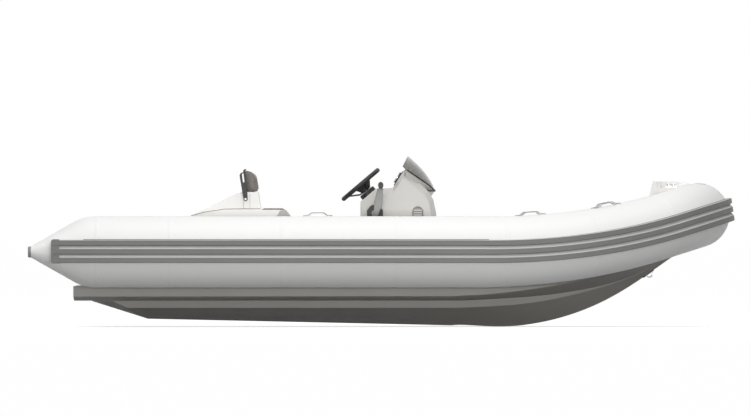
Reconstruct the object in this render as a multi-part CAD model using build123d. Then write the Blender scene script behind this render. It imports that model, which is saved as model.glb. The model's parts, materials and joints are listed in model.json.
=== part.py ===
from build123d import *
from math import acos, asin, atan, cos, degrees, radians, sin, sqrt, tan
import os

# Rigid-hulled inflatable boat, millimetres.  +X is the bow, +Z is up, and the origin lies
# on the centre plane, amidships, on the still waterline.

# ---- driving dimensions -------------------------------------------------------------
# inflated collar
tube_radius = 255.0
bow_tube_radius = 232.0
tube_half_spacing = 835.0
tube_axis_z = 320.0
tube_aft_x = -2131.0
sheer_start_x = 720.0
bow_axis_x = 2270.0
bow_plan_angle = 30.0
sheer_angle = 17.0
cone_length = 374.0
cone_tip_radius = 40.0
cap_length = 22.0
fit_gap = 0.3

# rubbing strake
strake_depth = 30.0
rib_count = 3
rib_pitch = 61.5
rib_face = 34.0
rib_groove = 17.0
rib_undercut = 6.0
rib_edge = 4.0
strake_top = 87.0
strake_roll = 4.0
strake_end_length = 58.0
strake_end_corner = 18.0
strake_slot = 5.0
strake_aft_x = -2361.0

# hull
deck_z = 142.0
hull_deck_drop = 190.0
seat_inset = 135.0
pod_length = 129.0
pod_top_z = 74.0
transom_foot_x = -2081.0
transom_foot_z = -38.0
transom_top_z = 353.0
transom_rake = 14.0
transom_thickness = 52.0
notch_half_width = 310.0
well_front_x = -1900.0
well_half = 190.0
well_foot_z = 20.0
stern_eye_y = 230.0
stern_eye_z = 95.0
plug_radius = 17.0
plug_height = 9.0
rocker_length = 396.0
stem_head_half = 22.0
floor_thickness = 12.0

# fittings on the collar
handle_length = 200.0
handle_height = 25.0
handle_width = 30.0
handle_strap = 6.0
handle_rows = [-462.0, 1087.0, 1655.0]
valve_radius = 32.0
valve_height = 9.0
valve_rows = [-1500.0, -200.0, 1150.0]

# bow
foredeck_aft_x = 1300.0
foredeck_top_z = 430.0
foredeck_wall = 12.0
locker_inset = 66.0
locker_floor_z = 225.0
bow_lid_aft_x = 1400.0
bow_lid_length = 350.0
bow_lid_half = 250.0
lid_thickness = 18.0
lid_gap = 5.0
step_foot_drop = 345.0
step_rise = 9.0
step_front_x = 2330.0
step_front_drop = 18.0
ledge_drop = 43.0
ledge_aft_x = 2000.0
ledge_inner = 195.0
eye_x = 1926.0
eye_z = 158.0
cleat_x = 2077.0
cleat_y = 250.0
roller_x = 2110.0
roller_drop = 20.0
roller_radius = 16.0
roller_pin_radius = 5.0
channel_half = 40.0
channel_depth = 48.0
foredeck_front_x = 2000.0
bolt_radius = 6.5
bolt_upper_span = 327.0
bolt_lower_span = 250.8
bolt_rise = 203.2
bolt_drop = 60.0
eye_radius = 22.5
eye_wire = 5.0

# console
console_wall = 8.0
console_shoulder_half = 230.0
console_half = 300.0
console_edge = 12.0
door_half = 150.0
door_foot_z = 200.0
door_height = 320.0
door_thickness = 14.0
door_lip = 18.0

# helm
helm_along = 81.6
wheel_height = 93.3
wheel_radius = 175.0
rim_radius = 16.0
helm_base_radius = 61.5
helm_base_height = 30.0
hub_radius = 32.0
hub_height = 16.0
helm_shaft_radius = 10.0
pin_gap = 0.05
spoke_width = 30.0
spoke_count = 3

# throttle
throttle_x = -50.0
throttle_z = 580.0
throttle_radius = 57.5
throttle_top_z = 657.0
throttle_foot_z = 515.0
throttle_depth = 48.0

# windscreen
screen_thickness = 5.0
screen_radius = 438.0
screen_half = 265.0

# stern seat
seat_aft_x = -1375.0
seat_front_x = -654.0
seat_lean = 20.0
seat_half = 410.0
seat_top_z = 629.0
coaming_z = 621.0
coaming_front_x = -691.0
seat_wall = 12.0
cushion_thickness = 55.0
cushion_gap = 1.5
cheek_inner = 330.0
cheek_outer = 380.0
post_proud = 4.0
pivot_x = -979.0
pivot_z = 698.0
pivot_radius = 8.0
arm_thickness = 8.0
arm_gap = 5.5
pad_half = 300.0
seat_door_half = 190.0
seat_door_foot_z = 220.0
seat_door_height = 240.0

# ---- collar path --------------------------------------------------------------------
# Each side runs straight, rises and closes in along one arc in space, and then meets the
# other side in a bow arc that lies in a plane tipped up by the sheer angle.
sheer_tan = tan(radians(sheer_angle))
plan_tan = tan(radians(bow_plan_angle))
side_turn = atan(sqrt(sheer_tan**2 + plan_tan**2))
side_lift = sheer_tan / tan(side_turn)
side_close = plan_tan / tan(side_turn)
bow_start_angle = asin(sin(side_turn) * side_close)
close_rate = tan(side_turn / 2) * side_close
bow_reach = (1 - sin(bow_start_angle)) * cos(radians(sheer_angle)) / cos(bow_start_angle)
side_end_x = (bow_axis_x - bow_reach * (tube_half_spacing + close_rate * sheer_start_x)) \
    / (1 - bow_reach * close_rate)
side_arc_radius = (side_end_x - sheer_start_x) / sin(side_turn)
side_end_y = tube_half_spacing - side_arc_radius * (1 - cos(side_turn)) * side_close
side_end_z = tube_axis_z + side_arc_radius * (1 - cos(side_turn)) * side_lift
bow_arc_radius = side_end_y / cos(bow_start_angle)
bow_up = Vector(-sin(radians(sheer_angle)), 0, cos(radians(sheer_angle)))
bow_centre = Vector(
    side_end_x - bow_arc_radius * sin(bow_start_angle) * cos(radians(sheer_angle)),
    0,
    side_end_z - bow_arc_radius * sin(bow_start_angle) * sin(radians(sheer_angle)),
)
bow_sweep = 180 - 2 * degrees(bow_start_angle)
side_stations = [side_turn * i / 5 for i in range(6)]
# height of the bow collar's crown on the centre plane, to the millimetre
crown_z = round(side_end_z + (bow_axis_x - side_end_x) * sheer_tan + bow_tube_radius)
step_top_z = crown_z + step_rise
step_low_z = crown_z - step_foot_drop
step_front_z = step_top_z - step_front_drop
ledge_z = step_top_z - ledge_drop
roller_z = step_top_z - roller_drop
channel_foot_z = step_top_z - channel_depth
sole_z = deck_z - floor_thickness
seat_floor_z = seat_top_z - cushion_thickness
transom_lean = tan(radians(transom_rake))


def side_point(turn):
    """Point and heading of the port collar axis, a given turn into its side arc."""
    drop = side_arc_radius * (1 - cos(turn))
    point = Vector(
        sheer_start_x + side_arc_radius * sin(turn),
        tube_half_spacing - drop * side_close,
        tube_axis_z + drop * side_lift,
    )
    heading = Vector(cos(turn), -sin(turn) * side_close, sin(turn) * side_lift)
    return point, heading


def collar_at(x):
    """Point and heading of the port collar axis at a given length along the boat."""
    if x <= sheer_start_x:
        return Vector(x, tube_half_spacing, tube_axis_z), Vector(1, 0, 0)
    if x <= side_end_x:
        return side_point(asin((x - sheer_start_x) / side_arc_radius))
    along = (x - side_end_x) / cos(radians(sheer_angle))
    turn = asin(min(1.0, sin(bow_start_angle) + along / bow_arc_radius))
    point = Vector(x, bow_arc_radius * cos(turn), side_end_z + along * sin(radians(sheer_angle)))
    heading = Vector(
        cos(turn) * cos(radians(sheer_angle)), -sin(turn), cos(turn) * sin(radians(sheer_angle))
    )
    return point, heading


def section_plane(turn):
    """Plane across the port collar: its x points outboard and its y points up."""
    point, heading = side_point(turn)
    share = turn / side_turn
    spin = Axis((0, 0, 0), (0, -side_lift, -side_close))
    outboard = Vector(0, 1, 0).rotate(spin, degrees(turn))
    outboard = outboard.rotate(Axis((0, 0, 0), heading), -strake_roll * share)
    return Plane(origin=point, x_dir=outboard, z_dir=heading)


def radius_at_turn(turn):
    return tube_radius + (bow_tube_radius - tube_radius) * turn / side_turn


def radius_at(x):
    share = (x - sheer_start_x) / (side_end_x - sheer_start_x)
    return tube_radius + (bow_tube_radius - tube_radius) * max(0.0, min(1.0, share))


def transom_x(z):
    """Length of the raked aft face of hull and transom at a given height."""
    return transom_foot_x - (z - transom_foot_z) * transom_lean


def mirrored(shape):
    return mirror(shape, about=Plane.XZ)


def across(x, y=0.0, z=0.0):
    """Plane across the boat at a given length, x to port and y up."""
    return Plane(origin=(x, y, z), x_dir=(0, 1, 0), z_dir=(1, 0, 0))


def outline(points):
    return make_face(Polyline(*points, close=True))


def side_block(points, near_y, far_y):
    """Solid between two y values with a side outline of (x, z) points."""
    plane = Plane(origin=(0, near_y, 0), x_dir=(1, 0, 0), z_dir=(0, -1, 0))
    return extrude(plane * outline(points), amount=near_y - far_y)


def block(x0, x1, y0, y1, z0, z1):
    size = Box(x1 - x0, y1 - y0, z1 - z0)
    return Pos((x0 + x1) / 2, (y0 + y1) / 2, (z0 + z1) / 2) * size


def largest(shape):
    return max(shape.solids(), key=lambda solid: solid.volume)


def highest(shape):
    return max(shape.solids(), key=lambda solid: solid.bounding_box().max.Z)


def save(name, *shapes):
    solids = [solid for shape in shapes for solid in shape.solids()]
    export_step(Compound(solids), f"parts/{name}.step")


# ---- collar -------------------------------------------------------------------------
def stern_cone(grow):
    """Port stern cone; its outboard side carries straight on from the collar."""
    tip_y = tube_half_spacing + tube_radius - cone_tip_radius
    base = across(tube_aft_x, tube_half_spacing, tube_axis_z) * Circle(tube_radius + grow)
    tip = across(tube_aft_x - cone_length, tip_y, tube_axis_z) * Circle(cone_tip_radius + grow)
    return loft([tip, base], ruled=True)


def side_tube(grow):
    """Port half of the collar as its cone, straight run and side arc, not yet joined."""
    start = across(tube_aft_x, tube_half_spacing, tube_axis_z)
    run = extrude(start * Circle(tube_radius + grow), amount=sheer_start_x - tube_aft_x)
    rings = [section_plane(turn) * Circle(radius_at_turn(turn) + grow) for turn in side_stations]
    return [stern_cone(grow), run, loft(rings)]


def bow_turned(face):
    """Turn a face at the end of the port side arc round the bow to the starboard side."""
    return revolve(face, axis=Axis(bow_centre, -bow_up), revolution_arc=bow_sweep)


def collar(grow):
    port = side_tube(grow)
    bow = bow_turned(section_plane(side_turn) * Circle(bow_tube_radius + grow))
    shape = port[0] + port[1] + port[2]
    return shape + bow + mirrored(shape)


def make_cap():
    tip_y = tube_half_spacing + tube_radius - cone_tip_radius
    start = across(tube_aft_x - cone_length, tip_y, tube_axis_z)
    cap = extrude(start * Circle(cone_tip_radius), amount=-cap_length)
    return fillet(cap.edges().sort_by(Axis.X)[0], 8.0)


# ---- rubbing strake -----------------------------------------------------------------
def strake_face(plane, radius, back_radius):
    """Ribbed strake section, x outboard and y up from the collar axis."""
    front = radius + strake_depth
    points = [(front - rib_edge, strake_top)]
    for rib in range(rib_count):
        top = strake_top - rib_edge - rib * rib_pitch
        points.append((front, top))
        points.append((front, top - rib_face))
        if rib < rib_count - 1:
            points.append((front - rib_groove, top - rib_face - rib_undercut))
    foot = points[-1][1] - rib_edge
    points.append((front - rib_edge, foot))
    top_back = (sqrt(back_radius**2 - strake_top**2), strake_top)
    foot_back = (sqrt(back_radius**2 - foot**2), foot)
    rim = Polyline(top_back, *points, foot_back)
    back = ThreePointArc(foot_back, (back_radius, 0), top_back)
    return plane * make_face([*rim.edges(), back])


def make_strake(tube_cut):
    aft_x = strake_aft_x + strake_end_length
    seat = fit_gap
    start = across(tube_aft_x, tube_half_spacing, tube_axis_z)
    run = extrude(strake_face(start, tube_radius, tube_radius + seat), amount=sheer_start_x - tube_aft_x)
    aft = across(aft_x, tube_half_spacing, tube_axis_z)
    tail = extrude(strake_face(aft, tube_radius, tube_radius - 60), amount=tube_aft_x - aft_x)
    tail = tail - tube_cut
    sections = [
        strake_face(section_plane(turn), radius_at_turn(turn), radius_at_turn(turn) + seat)
        for turn in side_stations
    ]
    sweep_up = loft(sections)
    nose = bow_turned(strake_face(section_plane(side_turn), bow_tube_radius, bow_tube_radius + seat))
    return tail, run, sweep_up, nose


def make_strake_end(tube_cut):
    """Moulded end of the strake, with a slot in line with each groove."""
    x0 = strake_aft_x
    x1 = strake_aft_x + strake_end_length
    low = tube_axis_z + strake_top - (rib_count - 1) * rib_pitch - rib_face - 3 * rib_edge
    outer_y = tube_half_spacing + tube_radius + strake_depth + 2
    shape = block(x0, x1, outer_y - 90, outer_y, low, tube_axis_z + strake_top + 4)
    corners = shape.edges().filter_by(Axis.Y).group_by(Axis.X)[0]
    shape = fillet(corners, strake_end_corner)
    for rib in range(1, rib_count):
        z = tube_axis_z + strake_top - rib_edge - (rib - 1) * rib_pitch - rib_face
        slot = block(x0 + strake_slot * 2, x1 + 1, outer_y - 8, outer_y + 1, z - strake_slot, z)
        shape = shape - slot
    return largest(shape - tube_cut)


# ---- hull ---------------------------------------------------------------------------
locker_xs = [foredeck_aft_x + foredeck_wall, 1500, 1700, 1880, foredeck_front_x - foredeck_wall]
locker_floor_xs = [foredeck_aft_x + foredeck_wall, 1500, 1700, 1780]

# Columns: x, keel z, rail share of the half deck, rail foot z, rail height,
# chine share of the half deck, chine z.
pod_aft_x = transom_foot_x - pod_length
hull_rows = [
    (pod_aft_x, -152, 0.47, -83, 52, 0.985, 0),
    (500, -211, 0.468, -82, 52, 0.985, 3),
    (720, -215, 0.457, -75, 52, 0.983, 14),
    (940, -216, 0.44, -61, 50, 0.97, 36),
    (1160, -186, 0.405, -33, 40, 0.945, 66),
    (1380, -126, 0.36, 12, 25, 0.89, 106),
    (1600, -34, 0.295, 70, 12, 0.82, 157),
    (1820, 94, 0.245, 148, 8, 0.74, 212),
    (2040, 247, 0.20, 268, 5, 0.60, 300),
]


def deck_half(x):
    point, heading = collar_at(x)
    return point.Y - seat_inset / sqrt(1 - heading.Y**2)


def hull_face(x, keel, rail, rail_foot, rail_height, chine, chine_z):
    half = deck_half(x)
    top = collar_at(x)[0].Z - hull_deck_drop
    side = [
        (half * rail, rail_foot),
        (half * rail + 6, rail_foot + rail_height),
        (half * chine, chine_z),
        (half, top),
    ]
    points = [(0, keel), *side, *[(-y, z) for y, z in reversed(side)]]
    return across(x) * outline(points)


def stem_face():
    """Last hull section, hidden under the bow tube."""
    x = bow_axis_x - 85
    top = collar_at(x)[0].Z - hull_deck_drop
    side = [
        (stem_head_half * 0.3, top - 14),
        (stem_head_half * 0.4, top - 12),
        (stem_head_half * 0.8, top - 6),
        (stem_head_half, top),
    ]
    points = [(0, top - 20), *side, *[(-y, z) for y, z in reversed(side)]]
    return across(x) * outline(points)


def aft_of_transom(low, high, half):
    """Everything aft of the raked face of the transom, between two heights."""
    aft = pod_aft_x - 10
    points = [(aft, low), (transom_x(low), low), (transom_x(high), high), (aft, high)]
    return side_block(points, -half, half)


def splash_well():
    """Space of the well that keeps water off the sole, inside the transom."""
    low = well_foot_z
    high = deck_z + 20
    points = [
        (transom_x(low) + transom_thickness, low),
        (well_front_x, low),
        (well_front_x, high),
        (transom_x(high) + transom_thickness, high),
    ]
    return side_block(points, -well_half, well_half)


def bolt_holes():
    holes = []
    for y, z in bolt_places():
        hole = Rot(0, 90 - transom_rake, 0) * Cylinder(bolt_radius, 300)
        holes.append(Pos(transom_x(z), y, z) * hole)
    return holes


def make_boat_hull(tube_cut):
    faces = [hull_face(*row) for row in hull_rows] + [stem_face()]
    shape = loft(faces[:2], ruled=True) + loft(faces[1:])
    shape = shape - block(pod_aft_x - 10, foredeck_aft_x, -900, 900, sole_z, sole_z + 400)
    shape = shape - aft_of_transom(pod_top_z, sole_z + 10, 900)
    shape = shape - aft_of_transom(-300, sole_z + 10, notch_half_width)
    # the keel is cut off by a rocker that rises to the foot of the transom
    rocker = [
        (pod_aft_x - 10, transom_foot_z, -31),
        (transom_foot_x, transom_foot_z, -31),
        (transom_foot_x + 144, -83.4, -31),
        (transom_foot_x + rocker_length, -163.4, -150),
    ]
    faces = []
    for x, centre_z, side_z in rocker:
        half = 340
        ring = [(-half, side_z), (0, centre_z), (half, side_z), (half, -400), (-half, -400)]
        faces.append(across(x) * outline(ring))
    shape = shape - loft(faces, ruled=True) - splash_well()
    shape = shape - extrude(plan_face(locker_floor_xs, locker_inset, locker_floor_z), amount=400)
    for hole in bolt_holes():
        shape = shape - hole
    return largest(shape - tube_cut)


def make_transom(tube_cut):
    points = [
        (transom_x(sole_z), sole_z),
        (transom_x(transom_top_z), transom_top_z),
        (transom_x(transom_top_z) + transom_thickness, transom_top_z),
        (transom_x(sole_z) + transom_thickness, sole_z),
    ]
    board = largest(side_block(points, -760, 760) - tube_cut)
    for hole in bolt_holes():
        board = board - hole
    return board


def bolt_places():
    """Centres of the four outboard bolts on the raked aft face of the transom."""
    upper = transom_top_z - bolt_drop * cos(radians(transom_rake))
    lower = upper - bolt_rise * cos(radians(transom_rake))
    places = []
    for side in (-1, 1):
        places.append((side * bolt_upper_span / 2, upper))
        places.append((side * bolt_lower_span / 2, lower))
    return places


def plan_face(xs, inset, z):
    """Face at one height whose edges follow the deck edge at the given stations."""
    side = [(x, deck_half(x) - inset) for x in xs]
    points = side + [(x, -y) for x, y in reversed(side)]
    return Pos(0, 0, z) * outline(points)


def make_floor(tube_cut):
    xs = [transom_foot_x + 12, sheer_start_x, 880, 1020, 1160, foredeck_aft_x]
    shape = extrude(plan_face(xs, 0, sole_z), amount=floor_thickness)
    return largest(shape - tube_cut - splash_well())


def make_foredeck(tube_cut, hull):
    xs = [foredeck_aft_x, 1500, 1700, 1880, foredeck_front_x]
    low = deck_z - 40
    outer = extrude(plan_face(xs, 6, low), amount=foredeck_top_z - low)
    height = foredeck_top_z - foredeck_wall - low
    inner = extrude(plan_face(locker_xs, locker_inset, low), amount=height)
    hole = block(
        bow_lid_aft_x, bow_lid_aft_x + bow_lid_length, -bow_lid_half, bow_lid_half,
        foredeck_top_z - 60, foredeck_top_z + 20,
    )
    return largest(outer - tube_cut - hull - inner - hole)


def make_bow_lid():
    lip = 22.0
    x0 = bow_lid_aft_x - lip
    x1 = bow_lid_aft_x + bow_lid_length + lip
    half = bow_lid_half + lip
    low = foredeck_top_z + fit_gap
    panel = block(x0, x1, -half, half, low, low + lid_thickness)
    panel = fillet(panel.edges().filter_by(Axis.Z), 35.0)
    panel = chamfer(panel.faces().sort_by(Axis.Z)[-1].edges(), 5.0)
    return panel


# Columns: x and half width of the bow step at its foot, x and half width at its top.
step_rows = [
    (1865, 0, 1950, 0),
    (1866, 290, 1974, 278),
    (2042, 345, 1981, 290),
    (2120, 315, 2120, 290),
    (2270, 200, 2270, 180),
    (step_front_x, 130, step_front_x, 110),
]


def make_bow_step(tube_cut):
    """Raised step over the bow, with a ledge for a cleat on each side of it."""
    faces = []
    for column, z in ((0, step_low_z), (2, step_top_z)):
        points = [row[column:column + 2] for row in step_rows]
        ring = points + [(x, -y) for x, y in reversed(points[1:])]
        faces.append(Pos(0, 0, z) * outline(ring))
    body = highest(loft(faces, ruled=True) - tube_cut)
    front = step_front_x + 10
    for y in (-ledge_inner - 200, ledge_inner):
        body = body - block(ledge_aft_x, front, y, y + 200, ledge_z, step_top_z + 10)
    slope = [(roller_x + 20, step_top_z), (front, step_front_z), (front, step_top_z + 10),
             (roller_x + 20, step_top_z + 10)]
    body = body - side_block(slope, -400, 400)
    body = body - block(roller_x - 30, front, -channel_half, channel_half, channel_foot_z, 900)
    return largest(body)


# ---- bow and stern fittings ---------------------------------------------------------
def make_bow_eye(hull):
    ring = Pos(eye_x, 0, eye_z) * Rot(90, 0, 0) * Torus(eye_radius, eye_wire)
    return largest(ring - hull)


def make_stern_eye(hull, side):
    ring = Rot(90, 0, 0) * Torus(eye_radius, eye_wire)
    return largest(Pos(transom_x(stern_eye_z), side * stern_eye_y, stern_eye_z) * ring - hull)


def make_drain_plug():
    """Screw plug of the drain on the aft face of the hull, with a bar to turn it by."""
    tilt = radians(transom_rake)
    plane = Plane(origin=(transom_x(0), 0, 0), x_dir=(0, 1, 0), z_dir=(-cos(tilt), 0, -sin(tilt)))
    disc = extrude(plane * Circle(plug_radius), amount=plug_height)
    bar = extrude(plane.offset(plug_height) * Rectangle(plug_radius * 1.5, 5), amount=7)
    return disc + bar


def make_cleat(y):
    base = block(-41, 41, -14, 14, 0, 6)
    posts = [Pos(x, 0, 17) * Cylinder(7, 22) for x in (-16, 16)]
    horn = Pos(0, 0, 30) * Rot(0, 90, 0) * Cylinder(7, 82)
    cleat = base + posts[0] + posts[1] + horn
    return Pos(cleat_x, y, ledge_z) * cleat


# Columns: x and z of the roller cheeks, measured from the roller pin.
roller_cheek = [
    (-25, -28), (-25, 8), (0, 18), (122, 18), (122, 13), (80, 2), (40, -14), (25, -28),
]


def make_roller_frame():
    base_top = channel_foot_z + 6
    frame = block(roller_x - 25, roller_x + 25, -34, 34, channel_foot_z, base_top)
    points = [(roller_x + x, roller_z + z) for x, z in roller_cheek]
    bore = Pos(roller_x, 0, roller_z) * Rot(90, 0, 0) * Cylinder(roller_pin_radius, 100)
    for y in (-34, 28):
        frame = frame + (side_block(points, y, y + 6) - bore)
    return frame


def make_roller():
    wheel = Rot(90, 0, 0) * Cylinder(roller_radius, 44)
    groove = Rot(90, 0, 0) * Torus(roller_radius + 4, 9)
    pin = Rot(90, 0, 0) * Cylinder(roller_pin_radius - pin_gap, 72)
    return Pos(roller_x, 0, roller_z) * (wheel - groove + pin)


def make_handle(x, side):
    """Carrying handle: a strap arched between two pads along the top of the collar."""
    point, heading = collar_at(x)
    radius = radius_at(x)
    plane = Plane(origin=point, x_dir=heading, z_dir=heading.cross(Vector(0, 0, 1)))
    half = handle_length / 2
    top = radius + handle_height
    foot = radius - 4
    strap = handle_strap + 4
    pad = 32.0
    rise = 26.0
    points = [
        (-half, foot), (-half, foot + strap), (-half + pad, foot + strap),
        (-half + pad + rise, top), (half - pad - rise, top), (half - pad, foot + strap),
        (half, foot + strap), (half, foot), (half - pad, foot),
        (half - pad - rise, top - handle_strap), (-half + pad + rise, top - handle_strap),
        (-half + pad, foot),
    ]
    shape = extrude(plane * outline(points), amount=handle_width / 2, both=True)
    shape = largest(shape - side_tube(fit_gap)[1 if x <= sheer_start_x else 2])
    return shape if side > 0 else mirrored(shape)


def make_valve(x):
    """Inflation valve on the inboard side of the collar."""
    point, heading = collar_at(x)
    radius = radius_at(x)
    inboard = Vector(0, 0, 1).cross(heading) * -1
    normal = (inboard + Vector(0, 0, 0.6)).normalized()
    start = point + normal * (radius - 3)
    plane = Plane(origin=start, z_dir=normal)
    return extrude(plane * Circle(valve_radius), amount=valve_height + 3)


# ---- console ------------------------------------------------------------------------
# Columns: x and z of the full outline at the shoulder, x and z of the inset outline at
# the side of the console.
console_rows = [
    (-155, deck_z, -137, deck_z),
    (-155, 679, -137, 608),
    (-44, 773, -20, 715),
    (77, 778, 84, 748),
    (165, 916, 155, 850),
    (336, 751, 300, 734),
    (369, 695, 335, 680),
    (389, 602, 352, 600),
    (430, deck_z, 385, deck_z),
]
helm_aft = Vector(console_rows[1][0], 0, console_rows[1][1])
helm_front = Vector(console_rows[2][0], 0, console_rows[2][1])
helm_slope = (helm_front - helm_aft).normalized()
helm_normal = Vector(-helm_slope.Z, 0, helm_slope.X)
helm_foot = helm_aft + helm_slope * helm_along


def helm_plane(height):
    return Plane(origin=helm_foot + helm_normal * height, x_dir=(0, 1, 0), z_dir=helm_normal)


def console_half_shape(shrink):
    full = [(x, z) for x, z, _, _ in console_rows]
    side = [(x, z) for _, _, x, z in console_rows]
    faces = []
    for points, y in ((full, 0), (full, console_shoulder_half - shrink * 0.4),
                      (side, console_half - shrink)):
        face = outline(points)
        if shrink:
            face = offset(face, amount=-shrink, kind=Kind.INTERSECTION)
            face = Pos(0, -shrink - 1, 0) * face
        faces.append(Plane(origin=(0, y, 0), x_dir=(1, 0, 0), z_dir=(0, -1, 0)) * face)
    return loft(faces[:2], ruled=True) + loft(faces[1:], ruled=True)


def on_shoulder(edge):
    """Whether an edge ends on the shoulders of the console, above its foot."""
    ends = [abs(abs(vertex.Y) - console_shoulder_half) for vertex in edge.vertices()]
    return max(ends) < 1 and edge.center().Z > deck_z + 1


def make_console():
    port = console_half_shape(0)
    outer = port + mirrored(port)
    edges = [edge for edge in outer.edges() if on_shoulder(edge)]
    outer = fillet(edges, console_edge)
    port = console_half_shape(console_wall)
    inner = port + mirrored(port)
    foot = block(-400, 700, -400, 400, deck_z - 50, deck_z)
    shape = outer - inner - foot
    opening = block(350, 500, -door_half, door_half, door_foot_z, door_foot_z + door_height)
    bore = helm_plane(0) * Cylinder(helm_shaft_radius + 4, 60)
    return largest(shape - opening - bore)


def make_console_door():
    """Access door on the forward face; it follows the lean of that face."""
    top_x, top_z = console_rows[-2][:2]
    foot_x, foot_z = console_rows[-1][:2]
    lean = atan((foot_x - top_x) / (top_z - foot_z))
    lip = door_lip
    door = block(0, door_thickness, -door_half - lip, door_half + lip, -lip, door_height + lip)
    door = fillet(door.edges().filter_by(Axis.X), 22.0)
    door = chamfer(door.faces().sort_by(Axis.X)[-1].edges(), 4.0)
    face_x = foot_x - (door_foot_z - foot_z) * tan(lean)
    return Pos(face_x + fit_gap, 0, door_foot_z) * Rot(0, -degrees(lean), 0) * door


def make_instrument_panel():
    a = Vector(console_rows[3][0], 0, console_rows[3][1])
    b = Vector(console_rows[4][0], 0, console_rows[4][1])
    along = (b - a).normalized()
    normal = Vector(-along.Z, 0, along.X)
    middle = a + (b - a) * 0.5
    plane = Plane(origin=middle, x_dir=(0, 1, 0), z_dir=normal)
    panel = extrude(plane * RectangleRounded(400, 120, 18), amount=5)
    gauges = []
    for y in (-120, -20, 80):
        gauges.append(extrude(plane.offset(5) * Pos(y, 0, 0) * Circle(42), amount=11))
    return panel, gauges


def make_windscreen():
    rows = [(386, 745), (350, 830), (300, 900), (185, 1010)]
    faces = []
    for x, z in rows:
        sag = screen_radius - sqrt(screen_radius**2 - screen_half**2)
        outer = ThreePointArc((x - sag, -screen_half), (x, 0), (x - sag, screen_half))
        inner_x = x - screen_thickness
        inner = ThreePointArc((inner_x - sag, screen_half), (inner_x, 0), (inner_x - sag, -screen_half))
        left = Line((x - sag, screen_half), (inner_x - sag, screen_half))
        right = Line((inner_x - sag, -screen_half), (x - sag, -screen_half))
        faces.append(Pos(0, 0, z) * make_face([outer, left, inner, right]))
    sheet = loft(faces)
    trim = side_block([(150, 930), (163, 918), (342, 797), (392, 748), (420, 748), (420, 1100),
                       (187, 1007), (155, 943)], -400, 400)
    return largest(sheet & trim)


def make_screen_brackets(screen, console):
    """Feet that carry the windscreen off the forward slope of the console."""
    feet = []
    for y in (-150, 0, 150):
        foot = block(326, 384, y - 12, y + 12, 752, 766)
        feet.append(largest(foot - screen - console))
    return feet


# ---- helm ---------------------------------------------------------------------------
def make_helm_base():
    base = extrude(helm_plane(0) * Circle(helm_base_radius), amount=helm_base_height)
    base = fillet(base.edges().sort_by(Axis.Z)[-1], 8.0)
    return base - helm_plane(0) * Cylinder(helm_shaft_radius, 200)


def make_hub():
    start = helm_base_height + 1.0
    hub = extrude(helm_plane(start) * Circle(hub_radius), amount=hub_height)
    shaft = extrude(helm_plane(start) * Circle(helm_shaft_radius - pin_gap), amount=-26)
    return hub + shaft


def make_rim():
    return helm_plane(wheel_height) * Torus(wheel_radius - rim_radius, rim_radius)


def make_spokes(rim, hub):
    dish = helm_base_height + 4
    points = [
        (hub_radius - 8, dish), (hub_radius + 22, dish), (120, wheel_height - 16),
        (160, wheel_height - 6), (160, wheel_height + 6), (114, wheel_height - 6),
        (hub_radius + 16, dish + 11), (hub_radius - 8, dish + 11),
    ]
    shape = None
    for turn in range(spoke_count):
        angle = 90 + 360 / spoke_count * turn
        radial = Plane(origin=(0, 0, 0), x_dir=(cos(radians(angle)), sin(radians(angle)), 0),
                       z_dir=(sin(radians(angle)), -cos(radians(angle)), 0))
        spoke = extrude(radial * outline(points), amount=spoke_width / 2, both=True)
        spoke = helm_plane(0).location * spoke
        shape = spoke if shape is None else shape + spoke
    return shape - rim - hub


# ---- throttle -----------------------------------------------------------------------
def make_throttle():
    y0 = -console_half - throttle_depth
    arch = outline([
        (throttle_x - throttle_radius, throttle_foot_z), (throttle_x + throttle_radius, throttle_foot_z),
        (throttle_x + throttle_radius, throttle_top_z - 40), (throttle_x + throttle_radius - 26, throttle_top_z - 8),
        (throttle_x + 14, throttle_top_z), (throttle_x - 14, throttle_top_z),
        (throttle_x - throttle_radius + 26, throttle_top_z - 8), (throttle_x - throttle_radius, throttle_top_z - 40),
    ])
    plane = Plane(origin=(0, -console_half, 0), x_dir=(1, 0, 0), z_dir=(0, -1, 0))
    box = extrude(plane * arch, amount=throttle_depth)
    disc = Pos(throttle_x, y0 - 5, throttle_z + 16) * Rot(90, 0, 0) * Cylinder(25, 10)
    lever = side_block([(-58, 590), (-36, 590), (0, 790), (-16, 790)], y0 - 10, y0 - 20)
    grip = Pos(-9, y0 - 10, 797) * Rot(90, 0, 0) * Cylinder(17, 60)
    return box, disc + lever, grip - lever


def make_side_vent():
    x0, x1, top, foot = 218, 297, 646, 500
    mid = (x0 + x1) / 2
    plane = Plane(origin=(0, -console_half, 0), x_dir=(1, 0, 0), z_dir=(0, -1, 0))
    radius = (x1 - x0) / 2
    rim = Polyline((x0, top - radius), (x0, foot), (x1, foot), (x1, top - radius))
    arc = ThreePointArc((x1, top - radius), (mid, top), (x0, top - radius))
    return extrude(plane * make_face([*rim.edges(), arc]), amount=6)


# ---- stern seat ---------------------------------------------------------------------
# Columns: x and z of the crowned seat top, from aft forward.
seat_crown = [(seat_aft_x, 576), (-1275, 602), (-1130, 624), (-990, 626), (-868, 626)]


# Columns: x and half width of the chamfered front corner of the seat at its foot, and
# the same at the top of the coaming.
corner_rows = [
    (-756, seat_half, -727, seat_half),
    (-652, 280, coaming_front_x, 365),
    (-600, 280, -600, 365),
    (-600, seat_half + 20, -600, seat_half + 20),
    (-756, seat_half + 20, -727, seat_half + 20),
]


def seat_corner():
    """What is cut away at the port front corner of the seat."""
    foot = [row[:2] for row in corner_rows]
    top = [row[2:] for row in corner_rows]
    low = extrude(Pos(0, 0, deck_z - 20) * outline(foot), amount=seat_floor_z - deck_z + 20)
    faces = [Pos(0, 0, seat_floor_z) * outline(foot), Pos(0, 0, coaming_z + 1) * outline(top)]
    return low + loft(faces, ruled=True)


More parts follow.
